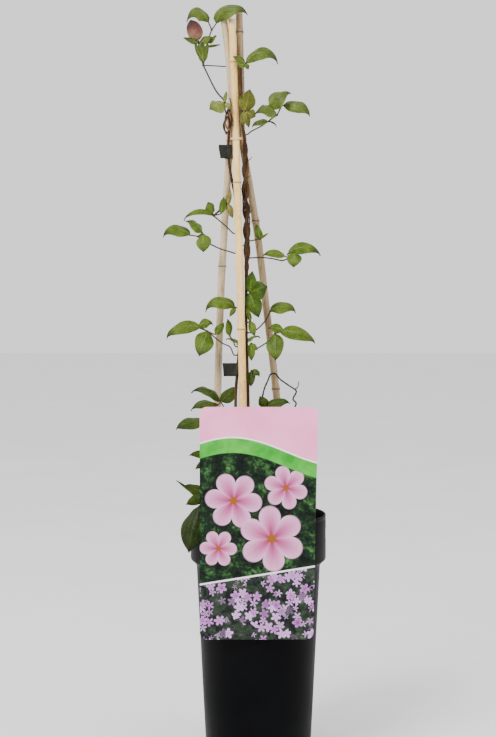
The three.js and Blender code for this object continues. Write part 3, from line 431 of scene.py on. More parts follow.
def cane_radius(name, height):
    """A culm tapers, and swells at each node with a thin step in the middle of the swelling."""
    share = (height - CANE_SPAN[0]) / (CANE_SPAN[1] - CANE_SPAN[0])
    radius = CANE_FOOT_RADIUS + (CANE_TOP_RADIUS - CANE_FOOT_RADIUS) * share
    for mark in CANE_NODES[name]:
        off = height - mark
        radius += 0.5 * math.exp(-(off / 2.6) ** 2) + 0.22 * math.exp(-((off + 0.6) / 0.7) ** 2)
        radius -= 0.16 * math.exp(-((off - 1.1) / 0.7) ** 2)
    return radius


def cane_heights(name):
    """The heights of a culm's rings: even ones, and closer ones round each node."""
    low, high = CANES[name][0][2], CANES[name][-1][2]
    heights = {low + (high - low) * i / CANE_RINGS for i in range(CANE_RINGS + 1)}
    heights |= {mark + off for mark in CANE_NODES[name] for off in NODE_RINGS}
    return sorted(h for h in heights if low <= h <= high)


def painted(tree, under, over, mask):
    """Lays one colour over another where the mask is 1."""
    # A Mix node has sockets for every kind of data: 0 is the share, 6 and 7 are the two colours.
    made = node(tree, "Mix", {0: mask}, data_type="RGBA")
    for socket, colour in ((made.inputs[6], under), (made.inputs[7], over)):
        if isinstance(colour, bpy.types.NodeSocket):
            tree.links.new(colour, socket)
        else:
            socket.default_value = (*colour, 1)
    return made.outputs[2]


def cane_skin(slot, groove, body, bleached):
    """Bamboo skin: long fine fibres, cloudy weathering, and a dark scar at each node."""
    material, tree, shader = new_material(slot + "_skin", 0.42, specular=0.25)
    fibres = grain(tree, own_place(tree, scale=(1500, 1500, 22)), 1, detail=5, roughness=0.65)
    blotches = grain(tree, own_place(tree, scale=(60, 60, 13)), 1, detail=3)
    specks = grain(tree, own_place(tree, scale=(700, 700, 260)), 1, detail=2)
    tone = sum_of(tree, (fibres, 0.42), (blotches, 0.4), (specks, 0.18))
    skin = colour_ramp(tree, tone, [(0.36, groove), (0.48, body), (0.64, bleached)])
    scar = node(tree, "Attribute", attribute_name="scar").outputs["Fac"]
    dark = tuple(0.35 * channel for channel in groove)
    tree.links.new(painted(tree, skin, dark, scar), shader.inputs["Base Color"])
    tree.links.new(sum_of(tree, (tone, 0.6), (scar, 0.3)), shader.inputs["Roughness"])
    relief(tree, shader, sum_of(tree, (fibres, 1.0), (specks, 0.3)), 0.00018)
    return material


for name, (slot, groove, body, bleached) in CANE_SKIN.items():
    centre = smooth_route(CANES[name], 14)
    heights = cane_heights(name)
    route = [at_height(centre, height) for height in heights]
    cane_bm = bmesh.new()
    scar_layer = cane_bm.verts.layers.float.new("scar")
    top = grow_rod(cane_bm, route, [cane_radius(name, height) for height in heights], sides=CANE_SIDES)
    # The cut top: a narrow bevel, the wall of the culm and the hollow inside it.
    bmesh.ops.inset_region(cane_bm, faces=[top], thickness=0.35, depth=0.25)
    bmesh.ops.inset_region(cane_bm, faces=[top], thickness=1.35)
    bmesh.ops.inset_region(cane_bm, faces=[top], thickness=0.2, depth=-4)
    for vert in cane_bm.verts:
        off = min(abs(vert.co.z - mark + 0.3) for mark in CANE_NODES[name])
        vert[scar_layer] = max(0.0, 1 - off / 1.1)
    keep_piece(cane_bm, f"bamboo_{name}", [f"cane_{name}"],
               [cane_skin(slot, groove, body, bleached)])

# ---------------- tie
# A pale rubber band is wound round the three canes and holds them together near the top. Its turns lie
# close on one another.

BAND_RADIUS = 0.55
BAND_TURNS = 3
BAND_RISE = 2.1
BAND_OVERLAP = 8
TIED_RADIUS = CANE_TOP_RADIUS + 0.1
TIE_GAP = 0.3
RING_STEPS = 48


def ring_round(circles, gap):
    """The tight outline round circles of (x, y, radius), as points at even angles from its middle."""
    middle = Vector((sum(c[0] for c in circles), sum(c[1] for c in circles))) / len(circles)
    outline = []
    for step in range(RING_STEPS):
        angle = 2 * math.pi * step / RING_STEPS
        out = Vector((math.cos(angle), math.sin(angle)))
        # The outline's support in this direction belongs to the circle that reaches furthest.
        x, y, radius = max(circles, key=lambda c: out.dot(Vector((c[0], c[1])) - middle) + c[2])
        outline.append(Vector((x, y)) + out * (radius + gap))
    return outline


cane_centres = {name: smooth_route(points, 14) for name, points in CANES.items()}
tie_circles = [(*at_height(cane_centres[name], TIE_HEIGHT).xy, TIED_RADIUS) for name in CANES]
tie_ring = ring_round(tie_circles, TIE_GAP + BAND_RADIUS)
wound = []
for step in range(RING_STEPS * BAND_TURNS + BAND_OVERLAP):
    spot = tie_ring[step % RING_STEPS]
    lift = BAND_RISE * step / (RING_STEPS * BAND_TURNS) - BAND_RISE / 2
    wound.append(Vector((spot.x, spot.y, TIE_HEIGHT + lift + 0.12 * math.sin(step * 0.37))))
tie_bm = bmesh.new()
grow_rod(tie_bm, wound, [BAND_RADIUS] * len(wound), sides=8)
band_rubber = mottled("pale_band_rubber", 0.6, 150, [(0.3, (0.7, 0.42, 0.2)), (0.7, (0.9, 0.62, 0.36))],
                      bumps=(1800, 0.0001))
keep_piece(tie_bm, "rubber_tie", ["cane_tie"], [band_rubber])

# ---------------- stems
# Two brown, woody stems climb from the mix behind the front cane. The right one has a partner that twines
# with it, and thinner stems round both. The left one ends in wiry loops, in a reddish tangle of leaf stalks.

BINE_RADIUS = 1.5
BINE_LEFT = [(-17, -25, 182), (-18.5, -24, 250), (-21.5, -20.5, 320), (-21.2, -19.5, 350),
             (-19, -18.8, 378), (-17, -14.5, 430), (-19.5, -6.5, 500), (-22.5, -3.2, 535),
             (-26.4, -3.5, 556), (-28.4, -4.8, 572), (-28.6, -5.6, 590), (-27.5, -4.4, 604),
             (-28.6, -4.4, 619)]
BINE_RIGHT = [(-6, -14, 180), (-9, -13.5, 300), (-10, -12.5, 353), (-11.6, -10.5, 416), (-11, -9, 462),
              (-11, -7, 500), (-12.4, -5, 545), (-13, -4.4, 589), (-15.6, -4.5, 606), (-16.3, -4.3, 635),
              (-17, -4.5, 662)]
# The loops at the end of the left stem, each with its radius.
STEM_LOOPS = [
    ([(-27.6, -4.6, 613), (-31, -5.5, 609), (-33.5, -5, 603), (-32, -6, 597.5), (-28, -5, 595)], 0.75),
    ([(-28, -4.6, 616), (-25.7, -6.8, 611), (-25.6, -7.2, 604.5), (-27.6, -5.4, 598)], 1)]
TWINE = (462, 588)
TWINE_TURNS = 3.2
TWINE_REACH = 2.5
TWINE_STEPS = 26
# Younger, thinner stems climb inside the pair and round it: (lowest, highest, reach, turns, radius).
THIN_STEMS = [(448, 598, 0.6, 1.6, 1.75), (464, 592, 3.2, -2.3, 0.7), (470, 580, 2.9, 1.3, 0.6)]
THIN_STEPS = 60
# Stubs of dead leaf stalks stand out of the strand: (height, heading, length), and how they taper.
STUBS = [(569, -20, 3.4), (541, 200, 2.2), (519, 15, 2.6), (487, 190, 2.4), (553, 30, 1.8)]
STUB_RADII = [0.6, 0.55, 0.5, 0.5, 0.45, 0.4, 0.3]
# The tangle of leaf stalks clasps the left stem and the left cane above the tie.
TANGLE = [
    ([(-27.6, -5.6, 620), (-30.4, -6.6, 614.5), (-31.6, -6.4, 606.5), (-30, -6.6, 600), (-27, -6.3, 598.4),
      (-25.4, -6.5, 603), (-27, -6.9, 610.5), (-29.2, -6.3, 616.5)], 0.95),
    ([(-30.6, -3.4, 594), (-32.6, -4.6, 600.5), (-31, -6, 607), (-27.4, -6.8, 613), (-26, -6.5, 622),
      (-27.4, -6, 629)], 0.85)]
stem_middle = smooth_route(BINE_RIGHT, 12)


def round_about(height, angle, reach):
    """A point beside the middle of the right stems, at an angle in radians and a reach."""
    return at_height(stem_middle, height) + reach * Vector((math.cos(angle), math.sin(angle), 0))


def wound_stem(low, high, turns, reach, phase, steps):
    """The route of a stem wound round the middle, closest to it at both ends."""
    shares = [step / steps for step in range(steps + 1)]
    return [round_about(low + (high - low) * share, phase + 2 * math.pi * turns * share,
                        reach * max(math.sin(math.pi * share), 0) ** 0.35) for share in shares]


def taper(route, thick, thin):
    """A rod's radii along its route."""
    return [thick + (thin - thick) * i / (len(route) - 1) for i in range(len(route))]


def woody(route, thick, thin, seed):
    """A woody stem's radii: a taper, uneven where leaves have grown."""
    pick = random.Random(seed)
    return [radius * pick.uniform(0.94, 1.07) for radius in taper(route, thick, thin)]


def colour_since(bm, count, index):
    """Gives the faces that were added after the first count their material."""
    bm.faces.ensure_lookup_table()
    for face in bm.faces[count:]:
        face.material_index = index


left_route = smooth_route(BINE_LEFT, 9)
right_low = [p for p in BINE_RIGHT if p[2] < TWINE[0] - 5]
right_high = [p for p in BINE_RIGHT if p[2] > TWINE[1] + 5]
first, partner = (wound_stem(*TWINE, TWINE_TURNS, TWINE_REACH, phase, TWINE_STEPS) for phase in (0, math.pi))
right_route = smooth_route([*right_low, *first, *right_high], 4)
partner_route = smooth_route(partner, 4)

bark, tree, shader = new_material("stem_bark", 0.72, specular=0.12)
strands = grain(tree, own_place(tree, scale=(2200, 2200, 90)), 1, detail=4, roughness=0.6)
patches = grain(tree, own_place(tree, scale=(160, 160, 35)), 1, detail=3)
tree.links.new(colour_ramp(tree, sum_of(tree, (strands, 0.55), (patches, 0.45)), [
    (0.34, (0.012, 0.005, 0.0025)), (0.48, (0.04, 0.018, 0.007)), (0.62, (0.09, 0.05, 0.02)),
    (0.76, (0.13, 0.095, 0.04))]), shader.inputs["Base Color"])
relief(tree, shader, strands, 0.0004)

left_bm = bmesh.new()
grow_rod(left_bm, left_route, woody(left_route, BINE_RADIUS, 1.2, 3), sides=10)
for points, radius in STEM_LOOPS:
    loop_route = smooth_route(points, 6)
    grow_rod(left_bm, loop_route, [radius] * len(loop_route), sides=7)
keep_piece(left_bm, "stem_left", ["bine_left"], [bark])
right_bm = bmesh.new()
grow_rod(right_bm, right_route, woody(right_route, BINE_RADIUS, 1.3, 4), sides=10)
grow_rod(right_bm, partner_route, woody(partner_route, 1.6, 1.45, 5), sides=8)
keep_piece(right_bm, "stem_right", ["bine_right"], [bark])

strand_bm = bmesh.new()
for low, high, reach, turns, radius in THIN_STEMS:
    strand = wound_stem(low, high, turns, reach, low, THIN_STEPS)
    grow_rod(strand_bm, strand, woody(strand, radius, 0.8 * radius, low), sides=8)
for height, heading, length in STUBS:
    angle = math.radians(heading)
    stub = [round_about(height + rise, angle, reach) for rise, reach in
            ((0, 2.6), (0.3 * length, 3.2 + 0.5 * length), (1.1 * length, 3.4 + length))]
    grow_rod(strand_bm, smooth_route(stub, 3), STUB_RADII, sides=6)
brown_faces = len(strand_bm.faces)
for points, radius in TANGLE:
    wire = smooth_route(points, 6)
    grow_rod(strand_bm, wire, woody(wire, radius, 0.8 * radius, 8), sides=8)
colour_since(strand_bm, brown_faces, 1)
red_bark = mottled("red_stalk_bark", 0.65, 1, [
    (0.34, (0.045, 0.016, 0.008)), (0.5, (0.12, 0.055, 0.028)), (0.68, (0.2, 0.12, 0.065))],
    bumps=(1600, 0.0002), specular=0.15, detail=4, stretch=(500, 500, 160))
keep_piece(strand_bm, "thin_stems", [], [bark, red_bark])

# ---------------- tying tapes
# Two short lengths of dark, thin tape hold the left stem, the upper one to the left cane as well. Each
# goes once round, and its two ends are pressed together as a small, crumpled flag.

TAPE_FILM = 0.3
TAPE_LEVELS = 7
TAPE_GAP = 0.7
TAPED_STEM_RADIUS = 1.45
# Each tape: its lowest edge, its height, the tip of its flag and the cane that it goes round.
TAPES = {
    "stem_tape_upper": (571, 13, (-37.3, -7.2), "left"),
    "stem_tape_lower": (363, 12.5, (-33.4, -20.5), None),
}

tape_film, tree, shader = new_material("dark_tape_film", 0.5, specular=0.2)
place = own_place(tree)
creases = grain(tree, own_place(tree, scale=(220, 220, 620)), 1, detail=3)
tree.links.new(colour_ramp(tree, grain(tree, place, 120, detail=4), [
    (0.3, (0.005, 0.0055, 0.004)), (0.55, (0.013, 0.0135, 0.0085)), (0.75, (0.032, 0.032, 0.02))]),
    shader.inputs["Base Color"])
relief(tree, shader, creases, 0.0006)

for name, (bottom, height, tip, cane) in TAPES.items():
    middle = bottom + height / 2
    stem = at_height(left_route, middle)
    circles = [(stem.x, stem.y, TAPED_STEM_RADIUS)]
    if cane:
        circles.append((*at_height(cane_centres[cane], middle).xy, TIED_RADIUS))
    round_it = ring_round(circles, TAPE_GAP)
    tip = Vector(tip)
    first = min(range(RING_STEPS), key=lambda i: (round_it[i] - tip).length)
    way = (tip - round_it[first]).normalized()
    aside = Vector((way.y, -way.x)) * (TAPE_FILM / 2 + 0.02)
    flag = [tip.lerp(round_it[first] + way, share / 8) for share in range(9)]
    loop = [round_it[(first + step) % RING_STEPS] for step in range(1, RING_STEPS)]
    path = [p - aside for p in flag] + loop + [p + aside for p in reversed(flag)]
    held = cane_centres[cane] if cane else left_route
    low, high = at_height(held, bottom), at_height(held, bottom + height)
    tape_bm = bmesh.new()
    edge = [tape_bm.verts.new((*path[0], 0)) for _ in range(TAPE_LEVELS + 1)]
    for level, vert in enumerate(edge):
        share = level / TAPE_LEVELS - 0.5
        vert.co += Vector((*(high - low).xy * share, middle + height * share))
    line = [tape_bm.edges.new(pair) for pair in zip(edge, edge[1:])]
    for here, there in zip(path, path[1:]):
        grown = bmesh.ops.extrude_edge_only(tape_bm, edges=line)["geom"]
        line = [part for part in grown if isinstance(part, bmesh.types.BMEdge)
                and all(v in grown for v in part.verts)]
        bmesh.ops.translate(tape_bm, vec=(*(there - here), 0),
                            verts=[part for part in grown if isinstance(part, bmesh.types.BMVert)])
    for vert in tape_bm.verts:
        out = max(0.0, 1 - (vert.co.xy - tip).length / 9)
        vert.co.x += 2.6 * out * (middle - vert.co.z) / height
        vert.co.xy += 0.45 * noise.noise_vector(vert.co * 0.22).xy \
            + 0.7 * out * noise.noise_vector(vert.co * 0.1).xy
    bmesh.ops.recalc_face_normals(tape_bm, faces=tape_bm.faces)
    tape_bm.normal_update()
    bmesh.ops.solidify(tape_bm, geom=tape_bm.faces[:], thickness=TAPE_FILM)
    bmesh.ops.recalc_face_normals(tape_bm, faces=tape_bm.faces)
    keep_piece(tape_bm, name + "_film", [name], [tape_film])

# ---------------- leaves
# Divided leaves with thin stalks grow from the stems. Each leaflet is a soft, ovate blade with an even
# margin, three to five nerves and a drawn-out tip that hooks down.

# The ways a leaflet's upper side faces. One that faces up lies open to the front.
UP = (0, -0.8, 1)
FRONT = (0, -1, 0.25)
BACK = (0, 0.4, 1)
OPEN = (0, -1, 0.5)
BLADE_ROWS = 16
BLADE_COLUMNS = 8
BLADE_DROOP = math.radians(26)
BLADE_SHEET = 0.55
PETIOLE_RADIUS = 0.72
STALKLET_RADIUS = 0.66
HUB_RADIUS = 1.15

# Each leaf: its node, its tone, the stem, height and heading it grows from, the way of its stalk, the hub
# where the leaflets part, and the leaflets: (start or None for the hub, tip, face of the upper side, half
# width, arch, and a tone where it has its own).
LEAVES = [
    ("leaf_crown_right", "top", "right", 659, -60, [], (-12, -9, 661.5), [
        (None, (18.8, -12, 660), UP, 8, 0.48),
        (None, (-24.2, -12, 668), FRONT, 4, 0.15),
        (None, (-20.3, -13, 658), FRONT, 3.5, 0.1),
        (None, (-9.3, -14, 655), FRONT, 2.6, 0.1)]),
    ("leaf_yellow", "yellow", "right", 611, -70, [], (-12.5, -11, 615.5), [
        (None, (-7.8, -14, 636.5), FRONT, 8.5, 0.12),
        (None, (-2.5, -14.5, 610), FRONT, 6.5, 0.1),
        (None, (-9, -14, 599.5), FRONT, 4, 0.1),
        (None, (-15.2, -12.5, 601.5), FRONT, 4.4, 0.1),
        (None, (-17.4, -11.5, 631), FRONT, 4, 0.1)]),
    ("leaf_right_upper", "top", "right", 594, -30, [(-7, -8, 596.5), (3.5, -9, 602), (12, -10, 608)],
     (18, -10.5, 612), [
        ((9.5, -11, 617.5), (31.5, -14, 632), (-0.6, -0.9, 0.5), 12, 0.38),
        ((23.4, -10, 621.5), (48.8, -15, 610), UP, 8, 0.27),
        (None, (-3.5, -18, 611.5), (0, -0.9, 0.6), 10, 0.5),
        ((9.3, -11, 606), (-6, -18, 599.5), UP, 4, 0.2),
        ((9.5, -10.7, 605.6), (17, -12, 600), UP, 1.2, 0.35)]),
    ("leaf_left_upper", "light", "left", 614, -130, [], (-32.5, -9, 624), [
        (None, (-47, -12, 617), (-0.1, -0.9, 0.5), 10, 0.22),
        (None, (-30.4, -11, 635), FRONT, 2.2, 0.1),
        (None, (-25.5, -12, 617.5), FRONT, 2.8, 0.1)]),
    ("leaf_left_1", "middle", "left", 499, 165, [(-30, -6, 505), (-37, -7, 511)], (-43, -8, 516), [
        ((-43.5, -9, 518), (-48.5, -11, 529), (0.3, -0.9, 0.4), 6.5, 0.15),
        ((-35.5, -9.5, 518), (-32.8, -11, 534), FRONT, 3.8, 0.12),
        ((-29.8, -8.8, 527.5), (-24.4, -10, 513.5), FRONT, 3.9, 0.1, "pale"),
        ((-29.5, -8.6, 526), (-27, -9.8, 542), FRONT, 3.4, 0.1, "pale"),
        (None, (-71, -13, 510.5), UP, 3.4, 0.32)]),
    ("leaf_left_2", "middle", "left", 480, 175, [(-26, -12.5, 481), (-36, -12.5, 484), (-46, -14, 488.7)],
     (-57.5, -16, 495.8), [
        ((-53, -15, 499.5), (-69, -17, 510), (0.5, -0.7, 0.5), 7.5, 0.3),
        ((-64.5, -17, 497), (-90.3, -20, 494.5), UP, 7.5, 0.38),
        ((-51.7, -18, 498), (-52.3, -21, 480.5), FRONT, 8, 0.12)]),
    ("leaf_right_0", "middle", "right", 492, 20, [(-3, 0.5, 493)], (2, 1, 494), [
        (None, (10, -4, 499), UP, 1.6, 0.1),
        (None, (-2, 0, 508), FRONT, 4.2, 0.08)]),
    ("leaf_right_1", "middle", "right", 475.5, 10, [(4, -4, 476), (15, -7, 474.5), (23.5, -9.5, 473)],
     (29.3, -11, 475.5), [
        ((25.5, -12, 477), (4, -15, 477), UP, 4.8, 0.22),
        ((28, -12, 479.5), (59.2, -16, 477), UP, 7, 0.34),
        ((34.5, -15, 481), (33.5, -19, 466), FRONT, 7.8, 0.15)]),
    ("leaf_inner_1", "bright", "right", 441, -50, [], (-8, -15, 442), [
        (None, (-5.6, -17, 463), FRONT, 6, 0.1),
        (None, (9, -21, 448), FRONT, 10.5, 0.15),
        (None, (0.5, -20, 418.5), FRONT, 8.5, 0.12)]),
    ("leaf_inner_2", "middle", "right", 414, -65, [], (-7.5, -16, 415), [
        (None, (-3.5, -20, 401), FRONT, 4.2, 0.1),
        (None, (-11, -22.5, 429), FRONT, 2.6, 0.1)]),
    ("leaf_left_3", "middle", "left", 428, 170, [], (-22, -14.5, 428), [
        (None, (-50, -18, 424), UP, 7.8, 0.42),
        (None, (-27.3, -19, 419.5), FRONT, 2.8, 0.12)]),
    ("leaf_left_4", "middle", "left", 383, 168, [(-27, -14, 390.5), (-34.6, -13, 394.2)],
     (-48.5, -14, 405.5), [
        ((-55.1, -15, 409), (-87, -20, 398), UP, 7.5, 0.29),
        ((-57, -11, 409), (-43.5, -7, 411), UP, 5.5, 0.4),
        (None, (-56, -24, 382), FRONT, 10.5, 0.12),
        ((-41, -14, 402.5), (-32.7, -13, 413.5), (0.3, -1, 0.3), 4.5, 0.1)]),
    ("leaf_left_5", "middle", "left", 391, 140, [(-24, -11, 396)], (-27.3, -10.5, 401), [
        (None, (-29.5, -11.5, 417.5), (0.4, -1, 0.2), 4.2, 0.15)]),
    ("leaf_right_2", "middle", "right", 404, 5, [(1, -4, 409), (7.5, -3, 416.5)], (11.5, -2.5, 424), [
        (None, (36, -6, 422.5), UP, 7.5, 0.36)]),
    ("leaf_right_3", "middle", "right", 386, 10, [(1, -8, 390), (8, -7.5, 394.5)], (16, -7, 403), [
        ((20.5, -7.5, 404.5), (54, -13, 393.5), UP, 8, 0.22),
        ((24, -8.5, 405.5), (9, -9, 407.5), UP, 5.5, 0.24),
        (None, (16.5, -15, 377.5), FRONT, 9.5, 0.12)]),
    ("leaf_inner_3", "middle", "right", 388, -50, [], (-6.8, -17, 394), [
        (None, (-0.5, -19, 387.5), FRONT, 2.6, 0.1),
        (None, (-6.5, -21, 377.5), FRONT, 4.2, 0.1)]),
    ("leaf_inner_4", "low", "right", 364, -35, [], (-6.5, -17, 368), [
        (None, (1, -20, 362.5), UP, 4.2, 0.3),
        (None, (-7.2, -21, 353), FRONT, 4.6, 0.12)]),
    ("leaf_low_left_1", "low", "left", 318, 155, [(-29, -13, 326)], (-36, -9, 338), [
        (None, (-64.3, -12, 346.5), (0.2, -0.7, 0.9), 7.5, 0.4),
        (None, (-19.5, -14, 352), (-0.3, -1, 0.2), 7.5, 0.1),
        ((-38, -12, 335.5), (-64.4, -19, 330), (0, -0.7, 0.9), 6.5, 0.28)]),
    ("leaf_low_left_2", "low", "left", 292, 175, [(-34, -26, 305)], (-46, -28, 318), [
        ((-51, -28.5, 321.5), (-77.6, -34, 313.8), (0, -0.9, 0.7), 8, 0.24),
        (None, (-40, -40, 300), FRONT, 7, 0.15)]),
    ("leaf_low_right", "low", "right", 322, -30, [(1, -19, 327)], (8, -21, 333), [
        (None, (1, -27, 345), FRONT, 5.5, 0.15),
        (None, (30, -26, 337.5), UP, 6, 0.24),
        (None, (22, -38, 322), FRONT, 7, 0.2)]),
    ("leaf_low_left_3", "low", "left", 270, 185, [(-32, -28, 279)], (-44, -34, 288), [
        (None, (-65, -41, 290), UP, 4.5, 0.16),
        (None, (-59, -42, 277.5), FRONT, 4.5, 0.12)]),
    ("leaf_low_left_4", "low", "left", 246, 190, [(-36, -31, 250)], (-50, -37, 253), [
        (None, (-68.5, -40, 262.5), (0, -1, 0.6), 6.5, 0.14),
        (None, (-67.5, -47, 245), FRONT, 6, 0.14),
        ((-64, -38, 256), (-77, -40, 266.7), UP, 1.4, 0.08)]),
    ("leaf_low_left_5", "old", "left", 231, 200, [(-38, -35, 240)], (-55, -42, 243), [
        (None, (-64.5, -55, 201.5), (-0.35, -0.95, 0.2), 15, 0.12)]),
    ("leaf_back_low", "low", "right", 262, 60, [(4, 2, 272), (10, 14, 284)], (14, 26, 294), [
        (None, (12, 50, 300), BACK, 8, 0.22),
        (None, (38, 34, 301), (0.3, 0.4, 1), 7, 0.2),
        (None, (-6, 36, 288), (-0.2, 0.6, 1), 7, 0.2)]),
    ("leaf_back_middle", "middle", "right", 366, 105, [(-13, 2, 374), (-14, 14, 382)], (-15, 22, 390), [
        (None, (-17, 44, 388), BACK, 6.5, 0.22),
        (None, (-32, 32, 396), (-0.3, 0.4, 1), 6, 0.2),
        (None, (2, 31, 398), (0.3, 0.4, 1), 6, 0.26)]),
]


def blade_width(share):
    """Half the width of a blade along its length, as a share of its widest half."""
    return max(math.sin(math.pi * share ** 0.72), 0) ** (0.8 + 0.5 * share)


def blade_frame(midrib, row, look):
    """The directions across a blade and out of its upper side, at one row of its midrib."""
    tangent = (midrib[min(row + 1, BLADE_ROWS)] - midrib[max(row - 1, 0)]).normalized()
    normal = (look - tangent * look.dot(tangent)).normalized()
    return tangent.cross(normal), normal


def grow_leaflet(bm, start, tip, face, half_width, arch, phase):
    """One leaflet: a sheet bent along its midrib, its margins lower than the midrib and gently waved."""
    start, tip = Vector(start), Vector(tip)
    along = tip - start
    length = along.length
    along.normalize()
    up = (Vector(face) - along * Vector(face).dot(along)).normalized()
    look = Vector(OPEN if face is UP else face)
    rising = start + along * 0.2 * length + up * 1.15 * arch * length
    late = start + along * 0.92 * length + up * 1.3 * arch * length
    midrib = interpolate_bezier(start, rising, late, tip, BLADE_ROWS + 1)
    made = bmesh.ops.create_grid(bm, x_segments=BLADE_COLUMNS, y_segments=BLADE_ROWS, size=1)
    upper = list({f for v in made["verts"] for f in v.link_faces})
    blade_uv = bm.loops.layers.uv.verify()
    for corner in (loop for f in upper for loop in f.loops):
        corner[blade_uv].uv = ((corner.vert.co.x + 1) / 2, (corner.vert.co.y + 1) / 2)
    for vert in made["verts"]:
        column, share = vert.co.x, (vert.co.y + 1) / 2
        row = round(share * BLADE_ROWS)
        side, normal = blade_frame(midrib, row, look)
        reach = abs(column) * max(half_width * blade_width(share), 0.35)
        # Each half is bowed, so the blade lies in a soft fold with a groove along its midrib.
        droop = BLADE_DROOP * (1.25 - 0.25 * abs(column)) + 0.13 * column * math.sin(7.5 * share + phase)
        ripple = 0.035 * half_width * abs(column) * math.sin(17 * share + 2 * phase + column)
        groove = -0.25 * math.exp(-(column / 0.14) ** 2)
        vert.co = midrib[row] + side * math.copysign(reach * math.cos(droop), column) \
            + normal * (ripple + groove - reach * math.sin(droop))
    bm.normal_update()
    bmesh.ops.solidify(bm, geom=upper, thickness=BLADE_SHEET)
    # The midrib stands out on the underside as a fine cord.
    under = [midrib[row] - blade_frame(midrib, row, look)[1] * 0.55 for row in range(0, BLADE_ROWS - 1, 2)]
    grow_rod(bm, under, [0.55 - 0.055 * i for i in range(len(under))], sides=5)


def ranged(tree, value, low, high, start=0.0, end=1.0, **settings):
    """Goes from start to end as value goes from low to high."""
    inputs = {"Value": value, "From Min": low, "From Max": high, "To Min": start, "To Max": end}
    return node(tree, "MapRange", inputs, **settings).outputs[0]


def leaf_blade(name, shadow, body, light, tip):
    """Leaf skin: mottled green, paler along the nerves, with painted rim light along the margin, and darker
    at the drawn-out tip.
    """
    material, tree, shader = new_material(name, 0.5, specular=0.1, subsurface_weight=0.1)
    shader.inputs["Subsurface Radius"].default_value = (0.004, 0.006, 0.002)
    shader.inputs["Subsurface Scale"].default_value = 0.2
    place = own_place(tree)
    parts = node(tree, "SeparateXYZ", {0: node(tree, "TexCoord").outputs["UV"]})
    off = calc(tree, "ABSOLUTE", calc(tree, "SUBTRACT", parts.outputs[0], 0.5))
    along = parts.outputs[1]

    def nerve(where, width):
        """A nerve that runs along the blade, where counts from the midrib outwards."""
        away = calc(tree, "ABSOLUTE", calc(tree, "SUBTRACT", off, where))
        return ranged(tree, away, 0.0, width, 1.0, 0.0, interpolation_type="SMOOTHSTEP")

    wave = calc(tree, "SINE", sum_of(tree, (along, 34), (off, -30)))
    side_veins = ranged(tree, wave, 0.72, 1.0)
    nerves = sum_of(tree, (nerve(0.0, 0.035), 1.0), (nerve(0.2, 0.018), 0.75), (nerve(0.36, 0.014), 0.45),
                    (side_veins, 0.22))
    mottle = sum_of(tree, (grain(tree, place, 90, detail=3), 0.55), (grain(tree, place, 700, detail=3), 0.45))
    skin = colour_ramp(tree, mottle, [(0.34, shadow), (0.5, body), (0.66, light)])
    pale = tuple(min(1.6 * channel + 0.02, 1) for channel in light)
    veined = painted(tree, skin, pale, calc(tree, "MULTIPLY", nerves, 0.32))
    # Painted rim light: the margin is made paler, standing in for light that catches the blade's edge from
    # behind.
    rim_lit = painted(tree, veined, pale, ranged(tree, off, 0.42, 0.5, 0.0, 0.55))
    aged = ranged(tree, along, 0.6, 0.95, 0.0, 0.85)
    tree.links.new(painted(tree, rim_lit, tip, aged), shader.inputs["Base Color"])
    sheen = sum_of(tree, (mottle, 0.5), (nerves, 0.18), (aged, 0.2), (off, 0.35))
    tree.links.new(sheen, shader.inputs["Roughness"])
    relief(tree, shader, sum_of(tree, (nerves, -0.8), (mottle, 0.55)), 0.0003)
    return material


# Each tone: its slot, its skin's name, and the skin's colours in shadow, body, light and at the tip.
TONES = {
    "top": ("leaf_top", "olive_blade", (0.0324, 0.0551, 0.0076), (0.0724, 0.1048, 0.0151),
            (0.1274, 0.1642, 0.0313), (0.024, 0.027, 0.014)),
    "light": ("leaf_top", "light_blade", (0.0742, 0.0901, 0.0127), (0.1325, 0.1569, 0.0297),
              (0.2014, 0.2226, 0.0636), (0.045, 0.05, 0.015)),
    "pale": ("leaf_middle", "pale_blade", (0.09, 0.075, 0.016), (0.185, 0.16, 0.045),
             (0.28, 0.25, 0.09), (0.06, 0.05, 0.018)),
    "yellow": ("leaf_top", "yellow_olive_blade", (0.0526, 0.0582, 0.0067), (0.0963, 0.1008, 0.0134),
               (0.1512, 0.1534, 0.0291), (0.036, 0.036, 0.012)),
    "middle": ("leaf_middle", "green_blade", (0.0299, 0.0586, 0.0046), (0.069, 0.1115, 0.0103),
               (0.1219, 0.1725, 0.0218), (0.015, 0.022, 0.009)),
    "bright": ("leaf_middle", "bright_blade", (0.014, 0.037, 0.0025), (0.039, 0.074, 0.006),
               (0.076, 0.124, 0.014), (0.013, 0.022, 0.006)),
    "low": ("leaf_low", "deep_blade", (0.014, 0.028, 0.003), (0.033, 0.056, 0.006),
            (0.062, 0.09, 0.014), (0.012, 0.018, 0.007)),
    "old": ("leaf_low", "dark_blade", (0.005, 0.01, 0.0015), (0.012, 0.022, 0.003),
            (0.025, 0.04, 0.007), (0.006, 0.01, 0.003)),
}
BLADES = {tone: leaf_blade(*skin) for tone, (slot, *skin) in TONES.items()}

leaf_stalk, tree, shader = new_material("leaf_stalk", 0.5, specular=0.2)
stalk_tone = sum_of(tree, (grain(tree, own_place(tree), 45, detail=2), 0.6),
                    (grain(tree, own_place(tree, scale=(900, 900, 900)), 1), 0.4))
tree.links.new(colour_ramp(tree, stalk_tone, [
    (0.36, (0.022, 0.015, 0.007)), (0.5, (0.05, 0.038, 0.014)), (0.64, (0.085, 0.08, 0.028))]),
    shader.inputs["Base Color"])
relief(tree, shader, grain(tree, own_place(tree), 2500), 0.00012)

